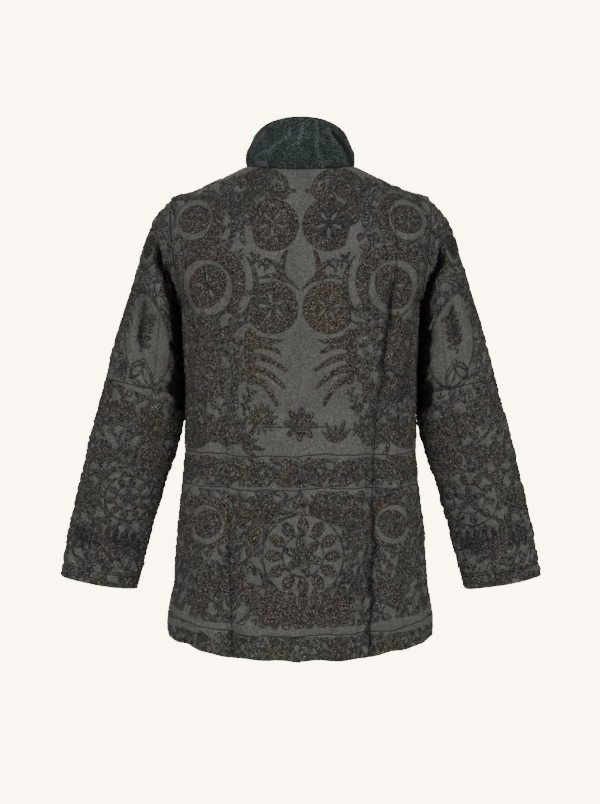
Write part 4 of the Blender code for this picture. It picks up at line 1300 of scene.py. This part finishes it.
def plain_reverse():
    material, tree, shader = new_material("cloth_reverse", 0.92)
    place = add(tree, "ShaderNodeTexCoord").outputs["Object"]
    fine, broad = noise(tree, place, 700, 2, 0.6), noise(tree, place, 30, 2, 0.5)
    colour = mixed(tree, step_between(tree, broad, 0.3, 0.7), (0.062, 0.058, 0.052, 1), (0.046, 0.043, 0.039, 1))
    colour = brightened(tree, colour, step_between(tree, fine, 0.3, 0.7, 0.75, 1.2))
    tree.links.new(colour, shader.inputs["Base Color"])
    bumped(tree, fine, 0.0005, 0.5, shader)
    return material


def collar_pile():
    material, tree, shader = new_material("collar_pile", 0.80)
    place = add(tree, "ShaderNodeTexCoord").outputs["Object"]
    fine, middling = noise(tree, place, 500, 2, 0.6), noise(tree, place, 62, 3, 0.6)
    pressed = fact(tree, "pressed").outputs["Fac"]
    patch = fact(tree, "patch").outputs["Fac"]
    # Paler stems in the pile, with a painted highlight along the lit edge of a fold.
    vein_and_lit_edge = step_between(tree, pressed, -2.6, 1.2)
    base = mixed(tree, step_between(tree, middling, 0.32, 0.68), (0.0085, 0.0150, 0.0140, 1), (0.0220, 0.0325, 0.0300, 1))
    base = mixed(tree, maths(tree, "MULTIPLY", vein_and_lit_edge, 0.55), base, (0.046, 0.062, 0.058, 1))
    colour = brightened(tree, base, step_between(tree, fine, 0.38, 0.64, 0.14, 2.00))
    colour = mixed(tree, step_between(tree, patch, 0.0, 0.8), colour, (0.046, 0.046, 0.054, 1))
    # Painted shadow of the collar's fold darkens the colour here.
    shaded = fact(tree, "hollow").outputs["Fac"]
    colour = brightened(tree, colour, step_between(tree, shaded, -1.4, 0.3, 1.0, 0.03))
    tree.links.new(colour, shader.inputs["Base Color"])
    shader.inputs["Sheen Weight"].default_value = 0.10
    shader.inputs["Sheen Roughness"].default_value = 0.45
    shader.inputs["Sheen Tint"].default_value = (0.62, 0.78, 0.72, 1)
    bumped(tree, maths(tree, "SUBTRACT", fine, maths(tree, "MULTIPLY", vein_and_lit_edge, 0.4)), 0.0014, 0.8, shader)
    return material


def sewing_thread():
    material, tree, shader = new_material("sewing_thread", 0.7)
    shader.inputs["Base Color"].default_value = (0.020, 0.019, 0.018, 1)
    return material


FACE, REVERSE, PILE, THREAD = embroidered_cloth(), plain_reverse(), collar_pile(), sewing_thread()
print("materials", [m.name for m in (FACE, REVERSE, PILE, THREAD)])

# %% [markdown]
# ## Sewing the body
# Five panels: the back, two back sides that curve round under the arms, and two fronts that meet
# edge to edge. Every sewn edge dips a little, as a pressed seam does.

# %% Body panels
HEM_LINE_LEVEL = 1.0
sewn_pieces = {}


def hem_wave(level, angle, side):
    """The hem's slight flutter, out and up, fading a hand's width above it."""
    near_hem = smooth(1 - level / 1.9)
    out = 0.0022 * np.sin(6.3 * angle + 0.9 * side) + 0.0016 * np.sin(14.7 * angle + 2.1 * side)
    lift = 0.0012 * np.sin(10.2 * angle + side) + 0.0009 * np.sin(23.0 * angle)
    return out * near_hem, lift * smooth(1 - level / 0.9)


def sewn_normals(points, surface, rows, turns):
    """Normals of a net, the same on both sides of a seam because edges use the plain form."""
    normals = net_normals(points)
    for column in (0, -1):
        normals[:, column] = normals_of(surface, np.clip(rows, STEP, None), turns[:, column])
    return normals


def finished_body(level, angle, side, across, up):
    """The body's sheet of one half with its creases, hills and hem added, and the depth of painted shade that its
    folds, valleys and the side under the arm put into the colour.
    """
    points = body_half(level, angle, side)
    normals = sewn_normals(points, plain_point, np.clip(level[:, 0], 0, NECK - STEP), angle)
    edge = np.where(angle < 0, hole_angle(level, True), hole_angle(level, False))
    clear = smooth(np.abs(angle - edge) / 0.16) * smooth((NECK - level) / 1.2) * smooth((SHOULDER + 0.4 - level) / 0.8)
    clear = np.where(level < ARMPIT - 0.6, 1, clear)
    wander = 1.0 * np.sin(5.3 * level + side) + 0.6 * np.sin(12.1 * level + 2 * side)
    creases = pressed_in(BODY_CREASES, side, np.degrees(angle) + wander, level, BODY_STEPS, np.degrees(seam_angle(level)), 0.35)
    out, lift = hem_wave(level, angle, side)
    push = (soft_hills(across, up) - creases) * clear + out
    points = points + normals * push[..., None]
    points[..., 2] += lift
    # Painted shade: the broad folds, the creases, the valleys and the side under the arm give a depth in mm that only
    # darkens the colour.
    broad = pressed_in(BODY_FOLDS, side, np.degrees(angle), level, BODY_STEPS, np.degrees(seam_angle(level)))
    under_arm_shade = 15 * MM * smooth(1 - np.abs(np.degrees(angle)) / 26) * smooth((level - 4.4) / 1.4) * smooth((10.0 - level) / 1.4)
    valley_shade = pressed_in(BODY_VALLEY_SHADE, side, np.degrees(angle) + 1.4 * wander, level, BODY_STEPS, np.degrees(seam_angle(level)))
    return points, 0.25 * broad + np.maximum(creases, 0) * clear + valley_shade + under_arm_shade


def body_lines(level, across, up, angle):
    """Signed distance to the pieced lines and the hem's line of stitching."""
    hem_line = body_half(np.zeros_like(level) + HEM_LINE_LEVEL, angle, 1)[..., 2]
    lines = [hem_line, np.zeros_like(up) + PIECED_LINES[0], np.zeros_like(up) + PIECED_LINES[1]]
    wander = 0.0018 * np.sin(across / 0.037) + 0.0011 * np.sin(across / 0.013 + 1) + 0.0005 * np.sin(across / 0.0052)
    return between_lines(up + wander, lines)


def body_piece(side, levels, left, right, embroider, middle):
    both = side == 0
    own = body_point if both else lambda level, angle: body_half(level, angle, side)
    angles = even_columns(own, levels, left, right)
    across = laid_flat(own, levels, angles, middle)
    across = -across if both or middle > 0 else across
    across = across if both else across * side
    rows = levels[:, None]
    if both:
        is_right = angles > QUARTER_TURN
        own_angle = np.where(is_right, HALF_TURN - angles, angles)
        up = body_half(rows, own_angle, 1)[..., 2]
        left_part, left_hollow = finished_body(rows, own_angle, 1, across, up)
        right_part, right_hollow = finished_body(rows, own_angle, -1, across, up)
        points = np.where(is_right[..., None], right_part * np.array([-1, 1, 1]), left_part)
        hollow = np.where(is_right, right_hollow, left_hollow)
    else:
        own_angle = angles
        up = body_half(rows, angles, side)[..., 2]
        points, hollow = finished_body(rows, angles, side, across, up)
    cloth = embroider(across, up)
    lines = body_lines(rows, across, up, own_angle)
    normals = sewn_normals(points, plain_point, np.clip(levels, 0, NECK - STEP), own_angle)
    if both:
        normals[:, -1, 0] *= -1
    return points, normals, cloth, lines, angles, hollow


def hush(level, side):
    """How much less the back seam shows: on the left it sinks into the stitches above the waist."""
    return 0.7 * MM + 0.7 * MM * smooth((level - 4.2) / 1.2) if side > 0 else 0.4 * MM * smooth((level - 4.2) / 1.2)


def finish_piece(name, points, normals, cloth, lines, hollow, edges, free, mirror, pole):
    joint = edge_distance(points, edges)
    dip = SEAM_DIP * np.exp(-((joint / SEAM_SOFT) ** 2))
    sheet = points - normals * dip[..., None]
    if pole:
        sheet[-1] = sheet[-1, 0]
    relief = raised(cloth.depth, lines)
    facts = {"sewn": cloth.depth / MM, "quilting": lines / MM, "joint": joint / MM, "thread": cloth.thread}
    facts["hollow"] = hollow / MM
    piece = cloth_wall(name, sheet, normals, CLOTH, relief, facts, (FACE, REVERSE), mirror, pole, free)
    face = (sheet + normals * (CLOTH / 2 + relief)[..., None]) * np.array([-1 if mirror else 1, 1, 1])
    sewn_pieces[name] = (face, np.abs(lines))
    return piece


side_levels = even_rows(ring_point, HEM, seam_end(), (0.0, QUARTER_TURN, 0.8))
top_levels = even_rows(ring_point, seam_end(), NECK, (0.0, QUARTER_TURN, -QUARTER_TURN))[1:]
all_levels = np.concatenate([side_levels, top_levels])
seam = seam_angle(all_levels)
seam[len(side_levels) - 1 :] = 0

points, normals, cloth, lines, angles, hollow = body_piece(
    0, all_levels, seam, HALF_TURN - seam, embroider_back, QUARTER_TURN
)
normals[-1] = neck_normals(angles[-1])
hushed = {side: (hush(all_levels, side))[:, None] for side in (1, -1)}
finish_piece("back", points, normals, cloth, lines, hollow, {"left": hushed[1], "right": hushed[-1], "top": 0}, ("bottom",), False, False)

for side, word in ((+1, "left"), (-1, "right")):
    edge = hole_angle(side_levels, False)
    points, normals, cloth, lines, angles, hollow = body_piece(
        side, side_levels, edge, seam[: len(side_levels)], embroider_back, QUARTER_TURN
    )
    in_hole = (side_levels >= ARMPIT) & (side_levels <= SHOULDER)
    normals[in_hole, 0] = hole_normals(hole_turn(side_levels[in_hole]), side)
    finish_piece(f"back_side_{word}", points, normals, cloth, lines, hollow, {"left": -0.6 * MM, "right": hushed[side][: len(side_levels)]}, ("bottom",), side < 0, True)

    edge = hole_angle(all_levels, True)
    gap = np.interp(all_levels, [HEM, NECK], [FRONT_GAP_HEM, FRONT_GAP_TOP])
    centre = -QUARTER_TURN + gap / 2 / through(BODY, "half_width", all_levels)
    points, normals, cloth, lines, angles, hollow = body_piece(
        side, all_levels, centre, edge, embroider_front, -QUARTER_TURN
    )
    in_hole = (all_levels >= ARMPIT) & (all_levels <= SHOULDER)
    normals[in_hole, -1] = hole_normals(-hole_turn(all_levels[in_hole]), side)
    normals[-1] = neck_normals(angles[-1])
    finish_piece(f"front_{word}", points, normals, cloth, lines, hollow, {"right": -0.6 * MM, "top": 0}, ("bottom", "left"), side < 0, False)
front_end = centre[-1]

# %% [markdown]
# ## Sewing the sleeves
# Each sleeve has a top piece, which shows outside, and a narrower under piece against the body.
# The seams run down the back and the front of the arm.

# %% Sleeve pieces
CUFF_LINE = 17.4
SLEEVE_LINE = 0.262
LINE_SLOPE = 0.36


def folded_over(around, half):
    """The back's pattern carried round to the front as in a mirror."""
    turned = np.where(around > half, 2 * half - around, around)
    return np.where(turned < -half, -2 * half - turned, turned)


def sleeve_piece(name, side, turn_from, turn_to):
    surface = lambda station, turn: sleeve_point(station, turn, side)
    stations = even_rows(surface, 0, CUFF, (0.0, QUARTER_TURN, HALF_TURN))
    flat_ends = np.zeros_like(stations)
    turns = even_columns(surface, stations, flat_ends + turn_from, flat_ends + turn_to)
    around = laid_flat(surface, stations, turns, QUARTER_TURN)
    half = laid_flat(surface, stations, flat_ends[:, None] + HALF_TURN, QUARTER_TURN)
    middle_line = surface(stations, flat_ends + QUARTER_TURN)
    down = np.concatenate([[0], np.cumsum(np.linalg.norm(np.diff(middle_line, axis=0), axis=-1))])[:, None]
    down = np.broadcast_to(down, around.shape)
    points = surface(stations[:, None], turns)
    normals = sewn_normals(points, surface, stations, turns)
    apart = (np.degrees(turns) + 180) % 360 - 180
    rows = stations[:, None]
    clear = smooth((rows - 0.5) / 1.6)
    creases = pressed_in(SLEEVE_CREASES, side, apart, rows, SLEEVE_STEPS, rolls=0.45)
    edge_swell = 0.0010 * np.sin(5 * turns + side) * smooth((rows - 16) / 2)
    push = (soft_hills(around + 0.3 * side, down) - creases) * clear + edge_swell
    points = points + normals * push[..., None]
    # Painted shade: the broad folds, the creases, the inner side that faces the body (inside) and the valleys give a
    # depth in mm that only darkens the colour.
    broad = pressed_in(SLEEVE_FOLDS, side, apart, rows, SLEEVE_STEPS)
    lumps = 4 * np.sin(3.1 * rows + side) + 2.5 * np.sin(5.7 * rows + 2 * side)
    inside = 17 * MM * smooth((58 + lumps - np.abs(apart)) / 16) * smooth((rows - 1.6) / 1.2) * smooth((11.0 - rows) / 2.4)
    valley_shade = pressed_in(SLEEVE_VALLEY_SHADE, side, apart, rows, SLEEVE_STEPS)
    hollow = 1.1 * broad + 0.8 * np.maximum(creases, 0) * clear + inside + valley_shade
    pattern_around = folded_over(around, half)
    cloth = embroider_sleeve(pattern_around, down, side)
    cuff_down = np.interp(CUFF_LINE, stations, down[:, 0])
    lines = between_lines(
        down, [SLEEVE_LINE + LINE_SLOPE * pattern_around * 0.5, np.zeros_like(down) + cuff_down]
    )
    normals = sewn_normals(points, surface, stations, turns)
    signed = (turns[0] + HALF_TURN) % (2 * HALF_TURN) - HALF_TURN
    normals[0] = hole_normals(signed, side)
    return points, normals, cloth, lines, hollow


for side, word in ((+1, "left"), (-1, "right")):
    for piece, start, end in (
        ("sleeve_top", HIND_SEAM, FORE_SEAM),
        ("sleeve_under", FORE_SEAM - 2 * HALF_TURN, HIND_SEAM),
    ):
        name = f"{piece}_{word}"
        points, normals, cloth, lines, hollow = sleeve_piece(name, side, start, end)
        finish_piece(name, points, normals, cloth, lines, hollow, {"bottom": -0.6 * MM, "left": 1.1 * MM, "right": 1.1 * MM}, ("top",), side < 0, False)

# %% [markdown]
# ## The collar
# A band of green pile cloth, turned up, higher behind and open in front. Old pile keeps the marks
# of leaf stems that were pressed into it, and a small worn patch shows near the neck seam. One pale
# line is a painted highlight on the edge of a fold, with painted shadow beside it and a narrower
# painted shadow low on the other side.

# %% Collar
collar_heights = even_rows(collar_point, 0, len(COLLAR) - 1, (0.0, QUARTER_TURN, -QUARTER_TURN))
flat_ends = np.zeros_like(collar_heights)
angles = even_columns(collar_point, collar_heights, flat_ends + front_end, flat_ends + HALF_TURN - front_end)
points = collar_point(collar_heights[:, None], angles)
across = -laid_flat(collar_point, collar_heights, angles, QUARTER_TURN)
up = points[..., 2]
normals = net_normals(points)
points = points + normals * (soft_hills(across * 1.6, up * 1.6, 0.0008) * smooth(collar_heights / 0.8)[:, None])[..., None]
normals = net_normals(points)
normals[0] = neck_normals(np.where(angles[0] > HALF_TURN, angles[0] - 2 * HALF_TURN, angles[0]))

# Pale leaf stems in the pile; the fifth line is the lit edge of a fold, a painted highlight.
STEMS_AND_LIT_EDGE = [
    [(0.078, 0.016), (0.040, 0.018), (0.014, 0.054)],
    [(0.080, 0.012), (0.070, 0.004), (0.060, -0.004)],
    [(-0.004, 0.062), (-0.002, 0.050), (0.004, 0.034)],
    [(-0.026, 0.066), (-0.022, 0.030), (-0.036, -0.006)],
    [(-0.044, 0.056), (-0.060, 0.030), (-0.084, -0.004)],
    [(0.060, 0.052), (0.076, 0.040), (0.088, 0.016)],
    [(0.150, -0.020), (0.130, 0.000), (0.118, 0.030)],
    [(-0.160, -0.030), (-0.140, -0.010), (-0.124, 0.024)],
]
stems_and_lit_edge = np.full(up.shape, -1.0)
for start, pull, end in STEMS_AND_LIT_EDGE:
    stems_and_lit_edge = np.maximum(stems_and_lit_edge, stroke(across, up, bow(start, pull, end), 0.0022, 0.0014))
# Painted shadow: a dark crescent beside the fold's lit edge and a narrow dark strip low on the other side; the cloth is
# dented a little there too.
shade = stroke(across, up, bow((-0.055, 0.050), (-0.078, 0.034), (-0.098, 0.004)), 0.0030, 0.0060)
shade = np.maximum(shade, stroke(across, up, bow((0.096, 0.034), (0.108, 0.018), (0.104, -0.006)), 0.0016, 0.0040))
patch = np.minimum(0.0125 - np.abs(across - 0.066 - 0.2 * up), 0.0070 - np.abs(up + 0.001))
dip = SEAM_DIP * np.exp(-((edge_distance(points, {"bottom": 0}) / SEAM_SOFT) ** 2))
sheet = points - normals * dip[..., None]
relief = 0.0009 * smooth(stems_and_lit_edge / 0.004 + 1) - 0.0014 * smooth(shade / 0.004 + 1)
facts = {"pressed": stems_and_lit_edge / MM, "patch": patch / MM, "hollow": shade / MM}
collar = cloth_wall("collar", sheet, normals, COLLAR_CLOTH, relief, facts, (PILE, PILE), free=("top", "left", "right"))

# %% [markdown]
# ## Lines of stitches
# Hems, cuffs and pieced seams are held by running stitches. One small stitch is repeated along
# each line with Geometry Nodes, then turned into a plain mesh. Every line is taken from the
# finished cloth, so it lies in its own groove.

# %% Stitches
STITCH, STITCH_GAP, STITCH_THICK = 0.0032, 0.0048, 0.00045


def one_stitch():
    mesh = bpy.data.meshes.new("one_stitch")
    bead = bmesh.new()
    bmesh.ops.create_uvsphere(bead, u_segments=6, v_segments=4, radius=1.0)
    for vertex in bead.verts:
        vertex.co = (vertex.co.x * STITCH_THICK, vertex.co.y * STITCH_THICK, vertex.co.z * STITCH / 2)
    bead.to_mesh(mesh)
    bead.free()
    return bpy.data.objects.new("one_stitch", mesh)


def stitch_nodes(source):
    tree = bpy.data.node_groups.new("running_stitches", "GeometryNodeTree")
    tree.interface.new_socket("Geometry", in_out="INPUT", socket_type="NodeSocketGeometry")
    tree.interface.new_socket("Gap", in_out="INPUT", socket_type="NodeSocketFloat")
    tree.interface.new_socket("Geometry", in_out="OUTPUT", socket_type="NodeSocketGeometry")
    start, end = tree.nodes.new("NodeGroupInput"), tree.nodes.new("NodeGroupOutput")
    curve = tree.nodes.new("GeometryNodeMeshToCurve")
    even = tree.nodes.new("GeometryNodeResampleCurve")
    even.mode = "LENGTH"
    tangent = tree.nodes.new("GeometryNodeInputTangent")
    turn = tree.nodes.new("FunctionNodeAlignRotationToVector")
    turn.axis = "Z"
    bead = tree.nodes.new("GeometryNodeObjectInfo")
    bead.inputs["Object"].default_value = source
    scatter = tree.nodes.new("GeometryNodeInstanceOnPoints")
    real = tree.nodes.new("GeometryNodeRealizeInstances")
    finish = tree.nodes.new("GeometryNodeSetMaterial")
    finish.inputs["Material"].default_value = THREAD
    join = tree.links.new
    join(start.outputs["Geometry"], curve.inputs["Mesh"])
    join(curve.outputs["Curve"], even.inputs["Curve"])
    join(start.outputs["Gap"], even.inputs["Length"])
    join(even.outputs["Curve"], scatter.inputs["Points"])
    join(tangent.outputs["Tangent"], turn.inputs["Vector"])
    join(turn.outputs["Rotation"], scatter.inputs["Rotation"])
    join(bead.outputs["Geometry"], scatter.inputs["Instance"])
    join(scatter.outputs["Instances"], real.inputs["Geometry"])
    join(real.outputs["Geometry"], finish.inputs["Geometry"])
    join(finish.outputs["Geometry"], end.inputs["Geometry"])
    return tree


def stitch_line(name, paths):
    """Stitches along one or more paths of points."""
    spots, edges = [], []
    for path in paths:
        start = len(spots)
        spots += [tuple(p) for p in path]
        edges += [(start + i, start + i + 1) for i in range(len(path) - 1)]
    mesh = bpy.data.meshes.new(name)
    mesh.from_pydata(spots, edges, [])
    line = bpy.data.objects.new(name, mesh)
    bpy.context.scene.collection.objects.link(line)
    modifier = line.modifiers.new("stitches", "NODES")
    modifier.node_group = STITCHES
    for item in STITCHES.interface.items_tree:
        if item.name == "Gap" and item.in_out == "INPUT":
            modifier[item.identifier] = STITCH_GAP
    ready = line.evaluated_get(bpy.context.evaluated_depsgraph_get())
    plain = bpy.data.meshes.new_from_object(ready)
    line.modifiers.clear()
    line.data = plain
    plain.shade_smooth()
    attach(line, "root")
    print(f"{name}: {len(plain.polygons)} faces")
    return line


def row_near(levels, wanted):
    return int(np.argmin(np.abs(levels - wanted)))


bead = one_stitch()
STITCHES = stitch_nodes(bead)
names = ["back", "back_side_left", "back_side_right", "front_left", "front_right"]


def along_line(name, low, high):
    """The path over a piece that follows the drawn line between two of its rows or heights."""
    net, off = sewn_pieces[name]
    rows = np.arange(len(net))[:, None] if low >= 0 else net[:, :, 2]
    outside = (rows < low) | (rows > high)
    best = np.argmin(off + outside, axis=0)
    return net[best, np.arange(net.shape[1])][1:-1]


hem_row = row_near(all_levels, HEM_LINE_LEVEL)
stitch_line("stitches_hem", [along_line(name, hem_row - 5, hem_row + 5) for name in names])
for number, height in enumerate(PIECED_LINES):
    stitch_line(f"stitches_pieced_{number + 1}", [along_line(name, height - 0.008, height + 0.008) for name in names])
for word in ("left", "right"):
    paths = []
    for piece in ("sleeve_top", "sleeve_under"):
        cuff_row = int(len(sewn_pieces[f"{piece}_{word}"][0]) * CUFF_LINE / CUFF)
        paths.append(along_line(f"{piece}_{word}", cuff_row - 6, cuff_row + 6))
    stitch_line(f"stitches_cuff_{word}", paths)
bpy.data.objects.remove(bead)

# %% [markdown]
# ## Floor, light and camera
# A pale room with broad soft lights, as for a catalogue picture. The camera stands behind the
# coat, a little above its middle, and looks slightly down.

# %% Floor and backdrop
def stage_plane(name, corners, colour):
    mesh = bpy.data.meshes.new(name)
    mesh.from_pydata(corners, [], [(0, 1, 2, 3)])
    board = bpy.data.objects.new(name, mesh)
    bpy.context.scene.collection.objects.link(board)
    material, tree, shader = new_material(name, 0.9)
    shader.inputs["Base Color"].default_value = colour
    mesh.materials.append(material)
    return board


PALE = (0.93, 0.915, 0.885, 1)
FLOOR_Z, FLOOR_BACK, ROOM = -1.30, -0.6, 5.0
stage_plane("floor", [(-ROOM, FLOOR_BACK, FLOOR_Z), (ROOM, FLOOR_BACK, FLOOR_Z), (ROOM, ROOM, FLOOR_Z), (-ROOM, ROOM, FLOOR_Z)], PALE)

# %% Lights
def soft_light(name, place, target, size, power):
    light = bpy.data.lights.new(name, "AREA")
    light.shape, light.size, light.energy = "SQUARE", size, power
    lamp = bpy.data.objects.new(name, light)
    bpy.context.scene.collection.objects.link(lamp)
    lamp.location = place
    way = np.array(target) - np.array(place)
    lamp.rotation_euler = (
        math.atan2(math.hypot(way[0], way[1]), -way[2]),
        0,
        math.atan2(way[1], way[0]) - QUARTER_TURN,
    )
    return lamp


MIDDLE = (0, 0, -0.38)
soft_light("key", (1.1, 2.7, 1.5), MIDDLE, 1.3, 62)
soft_light("fill", (-1.5, 2.5, 1.1), MIDDLE, 1.5, 48)
soft_light("front", (0.5, -2.6, 1.3), MIDDLE, 1.8, 60)
world = bpy.data.worlds.new("room")
world.use_nodes = True
tree = world.node_tree
lit, seen = tree.nodes["Background"], tree.nodes.new("ShaderNodeBackground")
lit.inputs["Color"].default_value = (1.0, 0.985, 0.96, 1)
lit.inputs["Strength"].default_value = 0.42
seen.inputs["Color"].default_value = (1.0, 0.84, 0.62, 1)
seen.inputs["Strength"].default_value = 10.5
choice, path = tree.nodes.new("ShaderNodeMixShader"), tree.nodes.new("ShaderNodeLightPath")
tree.links.new(path.outputs["Is Camera Ray"], choice.inputs[0])
tree.links.new(lit.outputs[0], choice.inputs[1])
tree.links.new(seen.outputs[0], choice.inputs[2])
tree.links.new(choice.outputs[0], tree.nodes["World Output"].inputs["Surface"])
bpy.context.scene.world = world

# %% Camera
EYE, AIM = np.array([0.0, 2.6, -0.175]), np.array([0.0, 0.0, -0.386])
WIDE = 600
lens = bpy.data.cameras.new("camera")
lens.sensor_fit = "HORIZONTAL"
lens.sensor_width = 36
lens.lens = 36 * 1576 / WIDE
lens.shift_x = -0.5 / WIDE
camera = bpy.data.objects.new("camera", lens)
bpy.context.scene.collection.objects.link(camera)
camera.location = EYE
look = AIM - EYE
camera.rotation_euler = (QUARTER_TURN + math.atan2(look[2], -look[1]), 0, HALF_TURN)
bpy.context.scene.camera = camera
print("camera looks down", round(math.degrees(math.atan2(-look[2], -look[1])), 2), "degrees")
